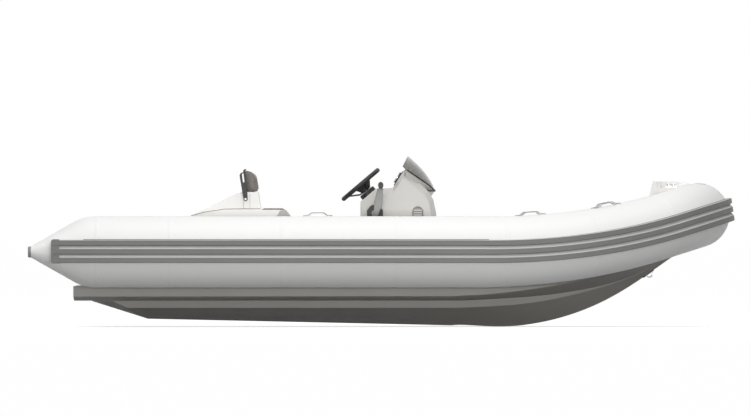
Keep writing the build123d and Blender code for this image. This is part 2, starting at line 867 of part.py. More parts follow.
def cushion_face(shrink):
    """Plan of the seat cushion, with its front corners cut off."""
    side = [
        (-868 + shrink, seat_half - 26 - shrink),
        (-776, seat_half - 26 - shrink),
        (-690 - shrink, 276 - shrink),
    ]
    return outline(side + [(x, -y) for x, y in reversed(side)])


def make_seat_base():
    points = [
        (-1290, deck_z), *seat_crown, (-868, coaming_z), (coaming_front_x, coaming_z),
        (seat_front_x, seat_floor_z), (seat_front_x + seat_lean, deck_z),
    ]
    corner = seat_corner()
    body = side_block(points, -seat_half, seat_half) - corner - mirrored(corner)
    body = body - extrude(Pos(0, 0, seat_floor_z) * cushion_face(0), amount=100)
    inner = [
        (-1270, deck_z - 10), (seat_aft_x + 30, 570), (-1270, 588), (-1130, 610), (-890, 610),
        (-886, seat_floor_z - seat_wall), (seat_front_x - seat_wall, seat_floor_z - seat_wall),
        (seat_front_x + seat_lean - seat_wall, deck_z - 10),
    ]
    hollow = side_block(inner, -seat_half + seat_wall, seat_half - seat_wall)
    grown = Pos(-seat_wall, -seat_wall, 0) * corner
    hollow = hollow - grown - mirrored(grown)
    hole = block(-760, -600, -seat_door_half, seat_door_half, seat_door_foot_z,
                 seat_door_foot_z + seat_door_height)
    return largest(body - hollow - hole)


def make_seat_door():
    lean = atan(seat_lean / (seat_floor_z - deck_z))
    lip = door_lip
    door = block(0, door_thickness, -seat_door_half - lip, seat_door_half + lip,
                 -lip, seat_door_height + lip)
    door = fillet(door.edges().filter_by(Axis.X), 22.0)
    door = chamfer(door.faces().sort_by(Axis.X)[-1].edges(), 4.0)
    height = seat_door_foot_z - deck_z
    face_x = seat_front_x + seat_lean - height * tan(lean)
    return Pos(face_x + fit_gap, 0, seat_door_foot_z) * Rot(0, -degrees(lean), 0) * door


def make_seat_cushion():
    low = seat_floor_z + fit_gap
    body = extrude(Pos(0, 0, low) * cushion_face(cushion_gap), amount=seat_top_z - low)
    return chamfer(body.faces().sort_by(Axis.Z)[-1].edges(), 8.0)


# Columns: x and z of the top of the fairing behind the backrest, between its cheeks.
fairing_top = [(-1095, 705), (-905, 705), (-880, 690)]


def make_cheeks():
    """Fairing behind the stern seat: two cheeks that carry the backrest, joined by a middle."""
    low = seat_crown[-1][1]
    points = [(-1077, 723), (-1013, 749), (-889, 749), *reversed(seat_crown)]
    cheek = side_block(points, cheek_inner, cheek_outer)
    post = block(-994, -947, cheek_outer, cheek_outer + post_proud, low, 740)
    reach = arm_gap + arm_thickness + 4
    pin = Cylinder(pivot_radius - pin_gap, post_proud + reach + 10)
    y = cheek_outer - 10 + (post_proud + reach + 10) / 2
    cheek = cheek + post + Pos(pivot_x, y, pivot_z) * Rot(90, 0, 0) * pin
    middle = side_block([*seat_crown, *reversed(fairing_top)], -cheek_inner, cheek_inner)
    return cheek + mirrored(cheek) + middle


def make_arms():
    y0 = cheek_outer + post_proud + arm_gap
    top = Pos(-998, 866) * Circle(24)
    foot = Pos(pivot_x, pivot_z) * Circle(15)
    face = make_hull([*top.edges(), *foot.edges()])
    slot_top = Pos(-1000, 874) * Circle(11)
    slot_foot = Pos(-996, 826) * Circle(9)
    slot = make_hull([*slot_top.edges(), *slot_foot.edges()])
    eye = Pos(pivot_x, pivot_z) * Circle(pivot_radius)
    plane = Plane(origin=(0, y0, 0), x_dir=(1, 0, 0), z_dir=(0, -1, 0))
    arm = extrude(plane * (face - slot - eye), amount=-arm_thickness)
    for x, z in ((-981, 850), (-988, 795)):
        length = y0 - pad_half
        stub = Pos(x, pad_half + length / 2, z) * Rot(90, 0, 0) * Cylinder(7, length)
        arm = arm + stub
    return arm


def make_pad():
    points = [(-968, 745), (-986, 900), (-978, 909), (-937, 897), (-910, 862), (-891, 753), (-898, 746)]
    return side_block(points, -pad_half, pad_half)


def make_pad_shell():
    points = [(-968.3, 744.5), (-986.3, 900), (-978, 909.3), (-984, 915), (-998, 902), (-976, 739),
              (-895, 739), (-895, 744.5)]
    return side_block(points, -pad_half, pad_half)


os.makedirs("parts", exist_ok=True)
tube = collar(0)
tube_cut = collar(fit_gap)
save("tube_collar", tube)
save("cone_caps", make_cap(), mirrored(make_cap()))
tail, run, sweep_up, nose = make_strake(tube_cut)
port_strake = tail + run + sweep_up
save("rub_strake", port_strake + nose + mirrored(port_strake))
end = make_strake_end(tube_cut)
save("strake_ends", end, mirrored(end))
hull = make_boat_hull(tube_cut)
save("hull", hull)
board = make_transom(tube_cut)
save("transom_board", board)
save("stern_eyes", make_stern_eye(hull, -1), make_stern_eye(hull, 1))
save("drain_plug", make_drain_plug())
save("cockpit_floor", make_floor(tube_cut))
save("foredeck", make_foredeck(tube_cut, hull))
save("bow_locker_lid", make_bow_lid())
save("bow_step", make_bow_step(tube_cut))
save("bow_eye", make_bow_eye(hull))
save("bow_cleats", make_cleat(-cleat_y), make_cleat(cleat_y))
save("roller_frame", make_roller_frame())
save("anchor_roller", make_roller())
save("tube_handles", *[make_handle(x, side) for x in handle_rows for side in (-1, 1)])
valves = [largest(make_valve(x) - tube_cut) for x in valve_rows]
save("tube_valves", *valves, *[mirrored(valve) for valve in valves])
console = make_console()
save("console_body", console)
save("console_door", make_console_door())
panel, gauges = make_instrument_panel()
save("instrument_panel", panel)
save("gauges", *gauges)
screen = make_windscreen()
save("windscreen", screen)
save("screen_brackets", *make_screen_brackets(screen, console))
save("helm_base", make_helm_base())
hub = make_hub()
rim = make_rim()
save("wheel_hub", hub)
save("wheel_rim", rim)
save("wheel_spokes", make_spokes(rim, hub))
throttle_box, throttle_lever, throttle_grip = make_throttle()
save("throttle_box", throttle_box)
save("throttle_lever", throttle_lever)
save("throttle_grip", throttle_grip)
save("side_vent", make_side_vent())
save("seat_base", make_seat_base())
save("seat_door", make_seat_door())
save("seat_cushion", make_seat_cushion())
save("seat_cheeks", make_cheeks())
arm = make_arms()
save("backrest_arms", arm, mirrored(arm))
save("backrest_pad", make_pad())
save("backrest_shell", make_pad_shell())
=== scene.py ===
import json
import math

import bmesh
import bpy
import numpy as np
from mathutils import Matrix, Vector
from mathutils.bvhtree import BVHTree


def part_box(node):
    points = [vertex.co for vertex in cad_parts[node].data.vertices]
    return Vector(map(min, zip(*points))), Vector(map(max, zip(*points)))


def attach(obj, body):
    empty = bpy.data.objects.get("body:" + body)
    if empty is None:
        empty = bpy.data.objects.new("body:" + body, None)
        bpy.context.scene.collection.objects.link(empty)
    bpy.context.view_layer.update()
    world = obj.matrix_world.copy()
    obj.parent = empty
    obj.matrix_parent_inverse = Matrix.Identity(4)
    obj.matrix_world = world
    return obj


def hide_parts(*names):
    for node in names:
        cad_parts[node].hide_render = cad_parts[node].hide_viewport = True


# everything is in metres, +X to the bow, +Y to port and +Z up, as in the frame
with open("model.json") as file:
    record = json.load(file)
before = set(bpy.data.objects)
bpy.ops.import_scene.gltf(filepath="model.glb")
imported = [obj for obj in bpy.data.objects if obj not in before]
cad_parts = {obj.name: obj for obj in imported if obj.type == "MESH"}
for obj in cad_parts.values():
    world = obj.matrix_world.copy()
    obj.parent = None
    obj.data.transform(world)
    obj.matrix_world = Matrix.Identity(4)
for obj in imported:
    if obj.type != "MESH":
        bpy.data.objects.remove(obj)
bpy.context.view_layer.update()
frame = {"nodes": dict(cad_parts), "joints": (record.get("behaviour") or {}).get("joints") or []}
cadNodes = frame["nodes"]
forward, toPort, upward = Vector((1, 0, 0)), Vector((0, 1, 0)), Vector((0, 0, 1))
otherSide = Vector((1, -1, 1))
print("frame loaded with", len(cadNodes), "nodes")


# colours and node materials
def screenColour(red, green, blue):
    # 0 to 255 as seen on a screen, turned into linear light
    def toLinear(value):
        value /= 255
        return value / 12.92 if value <= 0.04045 else ((value + 0.055) / 1.055) ** 2.4
    return (toLinear(red), toLinear(green), toLinear(blue), 1.0)


def addNode(tree, kind, inputs=None, **settings):
    # a node with its settings; an input is set to a plain value or linked to a socket
    node = tree.nodes.new(kind)
    for label, value in settings.items():
        setattr(node, label, value)
    for socket, value in (inputs or {}).items():
        if isinstance(value, bpy.types.NodeSocket):
            tree.links.new(value, node.inputs[socket])
        else:
            node.inputs[socket].default_value = value
    return node


def placeNode(tree, stretch=(1, 1, 1)):
    place = addNode(tree, "ShaderNodeTexCoord").outputs["Object"]
    return addNode(tree, "ShaderNodeMapping", {"Scale": stretch, "Vector": place}).outputs["Vector"]


def noiseNode(tree, place, scale, detail=3.0):
    noise = {"Scale": scale, "Detail": detail, "Vector": place}
    return addNode(tree, "ShaderNodeTexNoise", noise).outputs["Fac"]


def rangeNode(tree, value, low, high, fromLow=0.3, fromHigh=0.7):
    spread = {"From Min": fromLow, "From Max": fromHigh, "To Min": low, "To Max": high, "Value": value}
    return addNode(tree, "ShaderNodeMapRange", spread).outputs["Result"]


def mixColours(tree, factor, first, second):
    return addNode(tree, "ShaderNodeMix", {0: factor, 6: first, 7: second}, data_type="RGBA").outputs[2]


def mathNode(tree, operation, first, second):
    return addNode(tree, "ShaderNodeMath", {0: first, 1: second}, operation=operation).outputs[0]


def grainHeight(tree, place, kind, size):
    # height of the fine surface pattern; size is the width of one cell
    scale = 1 / size
    if kind == "leather":
        pebble = {"Scale": scale, "Vector": place}
        cells = addNode(tree, "ShaderNodeTexVoronoi", pebble, feature="SMOOTH_F1")
        fine = mathNode(tree, "MULTIPLY", noiseNode(tree, place, scale * 2.5, 2.0), 0.35)
        return mathNode(tree, "ADD", cells.outputs["Distance"], fine)
    if kind == "weave":
        thread = {"Scale": scale * 0.16, "Distortion": 0.4, "Vector": place}
        waves = [addNode(tree, "ShaderNodeTexWave", thread, bands_direction=way) for way in ("X", "Z")]
        return mathNode(tree, "MULTIPLY", *(wave.outputs["Fac"] for wave in waves))
    return noiseNode(tree, place, scale, 4.0)


def makeFinish(name, colour, drift, roughness, grain, special):
    # one node material: drifting colour, uneven gloss, fine grain and worn patches
    material = bpy.data.materials.new(name)
    material.use_nodes = True
    tree = material.node_tree
    shader = tree.nodes["Principled BSDF"]
    for socket, value in special.get("shader", {}).items():
        shader.inputs[socket].default_value = value
    place = placeNode(tree, special.get("stretch", (1, 1, 1)))
    base = screenColour(*colour)[:3]
    lighter = tuple(min(1.0, value * (1 + drift)) for value in base) + (1.0,)
    darker = tuple(value * (1 - drift) for value in base) + (1.0,)
    cloud = noiseNode(tree, place, special.get("driftScale", 2.5))
    shade = mixColours(tree, rangeNode(tree, cloud, 0.0, 1.0), darker, lighter)
    if "wear" in special:
        stretch, scale, amount, worn = special["wear"]
        marks = noiseNode(tree, placeNode(tree, stretch), scale, 6.0)
        share = rangeNode(tree, marks, 0.0, amount, 0.58, 0.75)
        shade = mixColours(tree, share, shade, screenColour(*worn))
    tree.links.new(shade, shader.inputs["Base Color"])
    gloss = noiseNode(tree, place, *special.get("gloss", (14.0, 4.0)))
    tree.links.new(rangeNode(tree, gloss, *roughness), shader.inputs["Roughness"])
    if grain:
        height = grainHeight(tree, place, special.get("grain", "noise"), grain[0])
        relief = {"Strength": special.get("grainStrength", 0.6), "Distance": grain[1], "Height": height}
        bump = addNode(tree, "ShaderNodeBump", relief)
        tree.links.new(bump.outputs["Normal"], shader.inputs["Normal"])
    return material


# colour, drift of the colour, roughness, width and depth of the grain, and what is special;
# wear holds its stretch, scale, amount and colour, and slot the record's slot if that has another name
finishes = {
    "gelcoat_taupe": ((194, 191, 186), 0.03, (0.5, 0.62), (0.012, 0.0002), {
        "grainStrength": 0.25, "shader": {"Specular IOR Level": 0.04},
        "wear": ((0.6, 1, 4), 6.0, 0.05, (198, 195, 190))}),
    "gelcoat_white": ((236, 234, 230), 0.008, (0.27, 0.31), (0.01, 0.0001), {
        "grainStrength": 0.08, "shader": {"Coat Weight": 0.4, "Coat Roughness": 0.1}}),
    # painted shade: the white gelcoat darkened for the console, its fairing and the vent slats
    "gelcoat_white_painted_shade": ((202, 200, 195), 0.008, (0.29, 0.33), (0.01, 0.0001), {
        "slot": "gelcoat_white", "grainStrength": 0.08,
        "shader": {"Coat Weight": 0.3, "Coat Roughness": 0.14}}),
    "tube_fabric": ((251, 251, 250), 0.008, (0.42, 0.52), (0.0011, 0.00008), {
        "driftScale": 1.3, "grain": "weave", "grainStrength": 0.5, "shader": {"Sheen Weight": 0.04}}),
    "seam_tape": ((251, 251, 250), 0.008, (0.46, 0.56), (0.0011, 0.00008), {
        "slot": "tube_fabric", "driftScale": 1.3, "grain": "weave", "grainStrength": 0.5}),
    "rubber_grey": ((148, 148, 147), 0.05, (0.5, 0.65), (0.0016, 0.0002), {
        "wear": ((1, 1, 1), 40.0, 0.3, (172, 172, 171))}),
    "strake_rubber": ((138, 138, 137), 0.03, (0.5, 0.64), (0.0018, 0.00025), {
        "stretch": (0.25, 1, 1), "shader": {"Specular IOR Level": 0.3},
        "wear": ((0.5, 1, 6), 12.0, 0.1, (160, 160, 159))}),
    # painted highlight: the strake rubber made lighter for its upward slopes, where the light from above
    # falls
    "strake_painted_highlight": ((212, 212, 211), 0.02, (0.5, 0.62), (0.0018, 0.0002), {
        "stretch": (0.25, 1, 1), "shader": {"Specular IOR Level": 0.3}}),
    "stainless": ((198, 198, 200), 0.03, (0.14, 0.26), (0.0006, 0.00002), {
        "stretch": (0.1, 1, 1), "shader": {"Metallic": 1.0}}),
    "black_plastic": ((34, 34, 35), 0.12, (0.38, 0.5), (0.0014, 0.00012), {
        "grain": "leather", "wear": ((1, 1, 1), 60.0, 0.12, (60, 60, 61))}),
    "handle_rubber": ((238, 238, 236), 0.02, (0.45, 0.6), (0.0014, 0.00015), {}),
    "valve_plastic": ((168, 168, 167), 0.03, (0.35, 0.48), (0.0012, 0.0001), {}),
    "wheel_rubber": ((30, 30, 30), 0.12, (0.46, 0.62), (0.0022, 0.0003), {
        "grain": "leather", "wear": ((1, 1, 1), 30.0, 0.2, (52, 52, 52))}),
    "lever_grey": ((132, 133, 131), 0.03, (0.3, 0.42), (0.0012, 0.0001), {"shader": {"Metallic": 0.25}}),
    "vent_plastic": ((158, 158, 156), 0.03, (0.4, 0.5), (0.0014, 0.0001), {}),
    "seat_vinyl": ((122, 117, 112), 0.035, (0.42, 0.55), (0.0026, 0.0004), {
        "grain": "leather", "wear": ((1, 1, 1), 9.0, 0.14, (152, 147, 142))}),
    "thread": ((186, 182, 176), 0.08, (0.6, 0.75), (0.0005, 0.0001), {"driftScale": 80.0, "slot": None}),
    "non_skid": ((222, 221, 217), 0.03, (0.5, 0.65), (0.0012, 0.0002), {
        "driftScale": 5.0, "slot": "gelcoat_white"}),
    "dial_face": ((20, 21, 23), 0.1, (0.3, 0.38), (0.001, 0.00003), {
        "driftScale": 30.0, "slot": "black_plastic"}),
    "dial_mark": ((232, 232, 228), 0.02, (0.4, 0.5), (0.0006, 0.00002), {
        "driftScale": 60.0, "slot": "black_plastic"}),
    "needle_red": ((196, 62, 40), 0.04, (0.35, 0.45), (0.0006, 0.00002), {
        "driftScale": 60.0, "slot": "black_plastic"}),
    "smoked_screen": ((160, 157, 152), 0.03, (0.06, 0.12), None, {
        "driftScale": 7.0, "gloss": (30.0, 3.0), "shader": {"Transmission Weight": 0.75, "IOR": 1.49}}),
}
finish = {name: makeFinish(name, *look) for name, look in finishes.items()}
print("finishes made:", len(finish))


# small helpers for meshes
def turnsRound(count):
    return [2 * math.pi * i / count for i in range(count)]


def addObject(name, mesh):
    piece = bpy.data.objects.new(name, mesh)
    bpy.context.scene.collection.objects.link(piece)
    return piece


def meshFrom(name, points, faces, edges=()):
    mesh = bpy.data.meshes.new(name)
    mesh.from_pydata([tuple(point) for point in points], list(edges), [tuple(face) for face in faces])
    mesh.update()
    return mesh


def smoothByAngle(mesh, degreesLimit=32):
    mesh.polygons.foreach_set("use_smooth", [True] * len(mesh.polygons))
    mesh.set_sharp_from_angle(angle=math.radians(degreesLimit))


def outwardNormals(mesh):
    work = bmesh.new()
    work.from_mesh(mesh)
    bmesh.ops.remove_doubles(work, verts=work.verts, dist=1e-6)
    bmesh.ops.recalc_face_normals(work, faces=work.faces)
    work.to_mesh(mesh)
    work.free()


def gridMesh(name, rings, closeEnds=False):
    # rings of equally many points, joined by quads
    rings = np.asarray(rings, float)
    count, around = rings.shape[:2]
    faces = []
    for i in range(count - 1):
        for j in range(around):
            k = (j + 1) % around
            faces.append((i * around + j, i * around + k, (i + 1) * around + k, (i + 1) * around + j))
    if closeEnds:
        faces.append(tuple(range(around)))
        faces.append(tuple(reversed(range((count - 1) * around, count * around))))
    mesh = meshFrom(name, rings.reshape(-1, 3), faces)
    outwardNormals(mesh)
    return mesh


def settle(piece, finishName, body="boat", replaces=()):
    # a piece gets its finish, the body that carries it and the nodes it stands for
    piece.data.materials.clear()
    piece.data.materials.append(finish[finishName])
    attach(piece, body)
    if replaces:
        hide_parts(*replaces)
    return piece


def shellPiece(name, rings, angle, finishName, body="boat", replaces=()):
    # a closed body through rings of points, with its edges sharp past an angle
    mesh = gridMesh(name, rings, closeEnds=True)
    smoothByAngle(mesh, angle)
    return settle(addObject(name, mesh), finishName, body, replaces)


def bakeModifiers(piece):
    # the evaluated shape becomes the piece's own plain mesh
    graph = bpy.context.evaluated_depsgraph_get()
    mesh = bpy.data.meshes.new_from_object(piece.evaluated_get(graph))
    piece.modifiers.clear()
    piece.data = mesh
    return piece


# Geometry Nodes trees
def newTree(name, inputs, kinds, wires):
    # kinds hold each node's type, inputs and settings, and a wire reads "node.socket > node.socket"
    tree = bpy.data.node_groups.new(name, "GeometryNodeTree")
    identifiers = {}
    inputs = {"Geometry": ("Geometry", None), **inputs, "Finish": ("Material", None)}
    for label, (kind, value) in inputs.items():
        socket = tree.interface.new_socket(label, in_out="INPUT", socket_type="NodeSocket" + kind)
        if value is not None:
            socket.default_value = value
        identifiers[label] = socket.identifier
    tree.interface.new_socket("Geometry", in_out="OUTPUT", socket_type="NodeSocketGeometry")
    ends = {"entry": ("NodeGroupInput",), "realize": ("GeometryNodeRealizeInstances",),
            "paint": ("GeometryNodeSetMaterial",), "end": ("NodeGroupOutput",)}
    nodes = {}
    for label, (kind, *rest) in {**ends, **kinds}.items():
        nodes[label] = addNode(tree, kind, rest[0] if rest else None, **(rest[1] if rest[1:] else {}))
    for wire in wires + ["realize.Geometry > paint.Geometry", "entry.Finish > paint.Material",
                         "paint.Geometry > end.Geometry"]:
        (source, output), (target, entrance) = (side.split(".") for side in wire.split(" > "))
        tree.links.new(nodes[source].outputs[output], nodes[target].inputs[entrance])
    return tree, identifiers


def vectorField(label):
    return "GeometryNodeInputNamedAttribute", {"Name": label}, {"data_type": "FLOAT_VECTOR"}


axesNode = ("FunctionNodeAxesToRotation", {}, {"primary_axis": "Z", "secondary_axis": "X"})
pathKinds = {
    "path": ("GeometryNodeMeshToCurve",), "outboard": vectorField("outboard"),
    "normal": ("GeometryNodeSetCurveNormal", {}, {"mode": "FREE"}),
}
pathWires = ["entry.Geometry > path.Mesh", "path.Curve > normal.Curve", "outboard.Attribute > normal.Normal"]
# a template stands on each point, turned to its facing and along directions
scatterTree = newTree("scatterOnPoints", {"Template": ("Object", None), "Size": ("Float", 1.0)}, {
    "template": ("GeometryNodeObjectInfo",), "facing": vectorField("facing"), "along": vectorField("along"),
    "turn": axesNode, "place": ("GeometryNodeInstanceOnPoints",),
}, [
    "entry.Template > template.Object", "facing.Attribute > turn.Primary Axis",
    "along.Attribute > turn.Secondary Axis", "entry.Geometry > place.Points",
    "template.Geometry > place.Instance", "turn.Rotation > place.Rotation", "entry.Size > place.Scale",
    "place.Instances > realize.Geometry",
])
# a profile follows the path, with its first axis held along the outboard direction
sweepTree = newTree("sweepAlongPath", {"Profile": ("Object", None), "Size": ("Float", 1.0)}, {
    **pathKinds, "profile": ("GeometryNodeObjectInfo",), "outline": ("GeometryNodeMeshToCurve",),
    "scaled": ("GeometryNodeTransform",), "sweep": ("GeometryNodeCurveToMesh", {"Fill Caps": True}),
}, pathWires + [
    "entry.Profile > profile.Object", "profile.Geometry > outline.Mesh", "outline.Curve > scaled.Geometry",
    "entry.Size > scaled.Scale", "normal.Curve > sweep.Curve", "scaled.Geometry > sweep.Profile Curve",
    "sweep.Mesh > realize.Geometry",
])
# stitches a set pitch apart along the path, lying on the surface
stitchTree = newTree("stitchAlongPath", {
    "Pitch": ("Float", 0.006), "Length": ("Float", 0.004), "Thickness": ("Float", 0.001),
}, {
    **pathKinds, "resample": ("GeometryNodeResampleCurve", {}, {"mode": "LENGTH"}),
    "thread": ("GeometryNodeMeshUVSphere", {"Segments": 8, "Rings": 5, "Radius": 0.5}),
    "size": ("ShaderNodeCombineXYZ",), "turn": axesNode, "place": ("GeometryNodeInstanceOnPoints",),
    "facing": ("GeometryNodeInputNormal",), "along": ("GeometryNodeInputTangent",),
}, pathWires + [
    "normal.Curve > resample.Curve", "entry.Pitch > resample.Length", "resample.Curve > place.Points",
    "thread.Mesh > place.Instance", "facing.Normal > turn.Primary Axis",
    "along.Tangent > turn.Secondary Axis", "turn.Rotation > place.Rotation", "entry.Length > size.X",
    "entry.Thickness > size.Y", "entry.Thickness > size.Z", "size.Vector > place.Scale",
    "place.Instances > realize.Geometry",
])
print("node trees made")


def grow(piece, treeAndInputs, values):
    tree, identifiers = treeAndInputs
    modifier = piece.modifiers.new("grow", "NODES")
    modifier.node_group = tree
    for label, value in values.items():
        modifier[identifiers[label]] = value
    bakeModifiers(piece)
    fields = piece.data.attributes
    for label in ("facing", "along", "outboard"):
        if label in fields:
            fields.remove(fields[label])
    return piece


def addVectors(mesh, label, vectors):
    layer = mesh.attributes.new(label, "FLOAT_VECTOR", "POINT")
    layer.data.foreach_set("vector", np.asarray(vectors, np.float32).ravel())


def scatter(name, rows, template, finishName, body="boat", size=1.0):
    # rows hold a point, its facing direction and its along direction
    points, facings, alongs = zip(*rows)
    mesh = meshFrom(name, points, [])
    addVectors(mesh, "facing", facings)
    addVectors(mesh, "along", alongs)
    piece = grow(addObject(name, mesh), scatterTree,
                 {"Template": template, "Size": size, "Finish": finish[finishName]})
    smoothByAngle(piece.data)
    return settle(piece, finishName, body)


def pathObject(name, runs, closed=False):
    # runs are lists of (point, outboard direction)
    points, outboards, edges = [], [], []
    for run in runs:
        first = len(points)
        points += [point for point, _ in run]
        outboards += [outboard for _, outboard in run]
        edges += [(first + i, first + i + 1) for i in range(len(run) - 1)]
        if closed:
            edges.append((first + len(run) - 1, first))
    mesh = meshFrom(name, points, [], edges)
    addVectors(mesh, "outboard", outboards)
    return addObject(name, mesh)


def sweep(name, runs, profile, finishName, body="boat", closed=False, size=1.0):
    piece = grow(pathObject(name, runs, closed), sweepTree,
                 {"Profile": profile, "Size": size, "Finish": finish[finishName]})
    outwardNormals(piece.data)
    smoothByAngle(piece.data)
    return settle(piece, finishName, body)


def stitch(name, runs, sizes, finishName, body="boat"):
    piece = grow(pathObject(name, runs), stitchTree, {**sizes, "Finish": finish[finishName]})
    smoothByAngle(piece.data, 60)
    return settle(piece, finishName, body)


def profileObject(name, points):
    # closed profile in its own x and y
    count = len(points)
    edges = [(i, (i + 1) % count) for i in range(count)]
    return bpy.data.objects.new(name, meshFrom(name, [(x, y, 0) for x, y in points], [], edges))


circles = {corners: profileObject("circle", [(math.cos(t), math.sin(t)) for t in turnsRound(corners)])
           for corners in (6, 8, 10)}


def roundBar(name, runs, radius, finishName, body="boat", closed=False, corners=8):
    return sweep(name, runs, circles[corners], finishName, body, closed, radius)


def turned(name, outline, count=24):
    # template made by turning (radius, height) pairs about its own z
    rings = [[(radius * math.cos(t), radius * math.sin(t), height) for t in turnsRound(count)]
             for radius, height in outline]
    return bpy.data.objects.new(name, gridMesh(name, rings, closeEnds=True))


def ringTemplate(name, outline, count=32):
    # closed ring turned about z from (radius, height) pairs
    rings = [[(radius * math.cos(t), radius * math.sin(t), height) for radius, height in outline]
             for t in turnsRound(count) + [0.0]]
    return bpy.data.objects.new(name, gridMesh(name, rings))


def blockTemplate(name, size, bevel=0.0008):
    # rounded block that stands on z = 0
    work = bmesh.new()
    bmesh.ops.create_cube(work, size=1.0)
    for vert in work.verts:
        vert.co = Vector((vert.co.x * size[0], vert.co.y * size[1], (vert.co.z + 0.5) * size[2]))
    bmesh.ops.bevel(work, geom=work.edges[:], offset=bevel, segments=2, affect="EDGES", profile=0.6)
    mesh = bpy.data.meshes.new(name)
    work.to_mesh(mesh)
    work.free()
    return bpy.data.objects.new(name, mesh)


# path of the inflated collar
collar = {
    "radius": 0.255, "bowRadius": 0.232, "halfSpacing": 0.835, "axisHeight": 0.320,
    "aft": -2.131, "sheerStart": 0.720, "bowAxis": 2.270, "planAngle": 30.0, "sheerAngle": 17.0,
    "coneLength": 0.374, "coneTip": 0.040, "strakeRoll": 4.0,
}
sheerTan = math.tan(math.radians(collar["sheerAngle"]))
planTan = math.tan(math.radians(collar["planAngle"]))
sheerCos, sheerSin = math.cos(math.atan(sheerTan)), math.sin(math.atan(sheerTan))
sideTurn = math.atan(math.hypot(sheerTan, planTan))
sideLift, sideClose = sheerTan / math.tan(sideTurn), planTan / math.tan(sideTurn)
bowStart = math.asin(math.sin(sideTurn) * sideClose)
closeRate = math.tan(sideTurn / 2) * sideClose
bowReach = (1 - math.sin(bowStart)) * sheerCos / math.cos(bowStart)
sideEndX = (collar["bowAxis"] - bowReach * (collar["halfSpacing"] + closeRate * collar["sheerStart"])) \
    / (1 - bowReach * closeRate)
sideArc = (sideEndX - collar["sheerStart"]) / math.sin(sideTurn)
sideEndY = collar["halfSpacing"] - sideArc * (1 - math.cos(sideTurn)) * sideClose
sideEndZ = collar["axisHeight"] + sideArc * (1 - math.cos(sideTurn)) * sideLift
bowArc = sideEndY / math.cos(bowStart)
bowUp = Vector((-sheerSin, 0, sheerCos))
bowCentre = Vector((sideEndX - bowArc * math.sin(bowStart) * sheerCos, 0,
                    sideEndZ - bowArc * math.sin(bowStart) * sheerSin))
straightRun = collar["sheerStart"] - collar["aft"]
sideRun = sideArc * sideTurn
bowRun = bowArc * (math.pi / 2 - bowStart)
halfRun = straightRun + sideRun + bowRun


def radiusAt(share):
    # the tube narrows from the start of the sheer to the end of its side
    return collar["radius"] + (collar["bowRadius"] - collar["radius"]) * share


def sideStation(turn):
    drop = sideArc * (1 - math.cos(turn))
    point = Vector((collar["sheerStart"] + sideArc * math.sin(turn),
                    collar["halfSpacing"] - drop * sideClose, collar["axisHeight"] + drop * sideLift))
    heading = Vector((math.cos(turn), -math.sin(turn) * sideClose, math.sin(turn) * sideLift))
    share = turn / sideTurn
    outboard = Matrix.Rotation(turn, 3, Vector((0, -sideLift, -sideClose))) @ toPort
    outboard = Matrix.Rotation(-math.radians(collar["strakeRoll"]) * share, 3, heading) @ outboard
    return point, heading, outboard, radiusAt(share)


def collarStation(along):
    # along is the distance from the port stern end; past the bow it runs down the other side
    if along > halfRun:
        point, heading, outboard, radius = collarStation(2 * halfRun - along)
        return point * otherSide, heading * otherSide * -1, outboard * otherSide, radius
    if along <= straightRun:
        point = Vector((collar["aft"] + along, collar["halfSpacing"], collar["axisHeight"]))
        return point, forward, toPort, collar["radius"]
    if along <= straightRun + sideRun:
        return sideStation((along - straightRun) / sideArc)
    point, heading, outboard, radius = sideStation(sideTurn)
    turn = Matrix.Rotation((along - straightRun - sideRun) / bowArc, 3, -bowUp)
    return bowCentre + turn @ (point - bowCentre), turn @ heading, turn @ outboard, radius


def collarUp(along):
    _, heading, outboard, _ = collarStation(along)
    up = heading.cross(outboard)
    return up if up.z > 0 else -up


def skinPoint(along, turn, proud=0.0):
    # a point on the collar skin; turn 0 is outboard and a quarter turn is the top
    point, _, outboard, radius = collarStation(along)
    facing = outboard * math.cos(turn) + collarUp(along) * math.sin(turn)
    return point + facing * (radius + proud), facing


# collar skin
skin = {
    "around": 112, "step": 0.032, "coneRings": 12, "pinch": 0.0004, "pinchWidth": 0.05,
    "blunt": 0.07, "seams": [0.095, 0.62, 1.42, 2.24, 3.02, 3.62, 4.22, 4.64],
}
seamPlaces = skin["seams"] + [2 * halfRun - along for along in skin["seams"]]


def pinchAt(along):
    return skin["pinch"] * sum(math.exp(-((along - seam) / skin["pinchWidth"]) ** 2) for seam in seamPlaces)


def bluntLoss(reach):
    # radius given up where the tube rounds into its cone; reach runs from the base to the tip
    slope = (collar["radius"] - collar["coneTip"]) / collar["coneLength"]
    if reach <= -skin["blunt"]:
        return 0.0
    if reach >= skin["blunt"]:
        return slope * reach
    return slope * (reach + skin["blunt"]) ** 2 / (4 * skin["blunt"])


def coneRing(share, side):
    # ring of the stern cone; share 0 is its base and 1 its tip
    radius = collar["radius"] - bluntLoss(collar["coneLength"] * share)
    centre = Vector((collar["aft"] - collar["coneLength"] * share,
                     side * (collar["halfSpacing"] + collar["radius"] - radius), collar["axisHeight"]))
    return [centre + Vector((0, side * math.cos(turn), math.sin(turn))) * radius
            for turn in turnsRound(skin["around"])]


def makeCollar():
    shares = [i / skin["coneRings"] for i in range(1, skin["coneRings"] + 1)]
    rings = [coneRing(share, 1) for share in reversed(shares)]
    for along in np.linspace(0, 2 * halfRun, round(2 * halfRun / skin["step"]) + 1):
        loss = bluntLoss(-min(along, 2 * halfRun - along))
        shift = collarStation(along)[2] * loss
        rings.append([skinPoint(along, turn, -pinchAt(along) - loss)[0] + shift
                      for turn in turnsRound(skin["around"])])
    rings += [coneRing(share, -1) for share in shares]
    shellPiece("inflated_collar", rings, 40, "tube_fabric", replaces=["tube_collar"])


makeCollar()

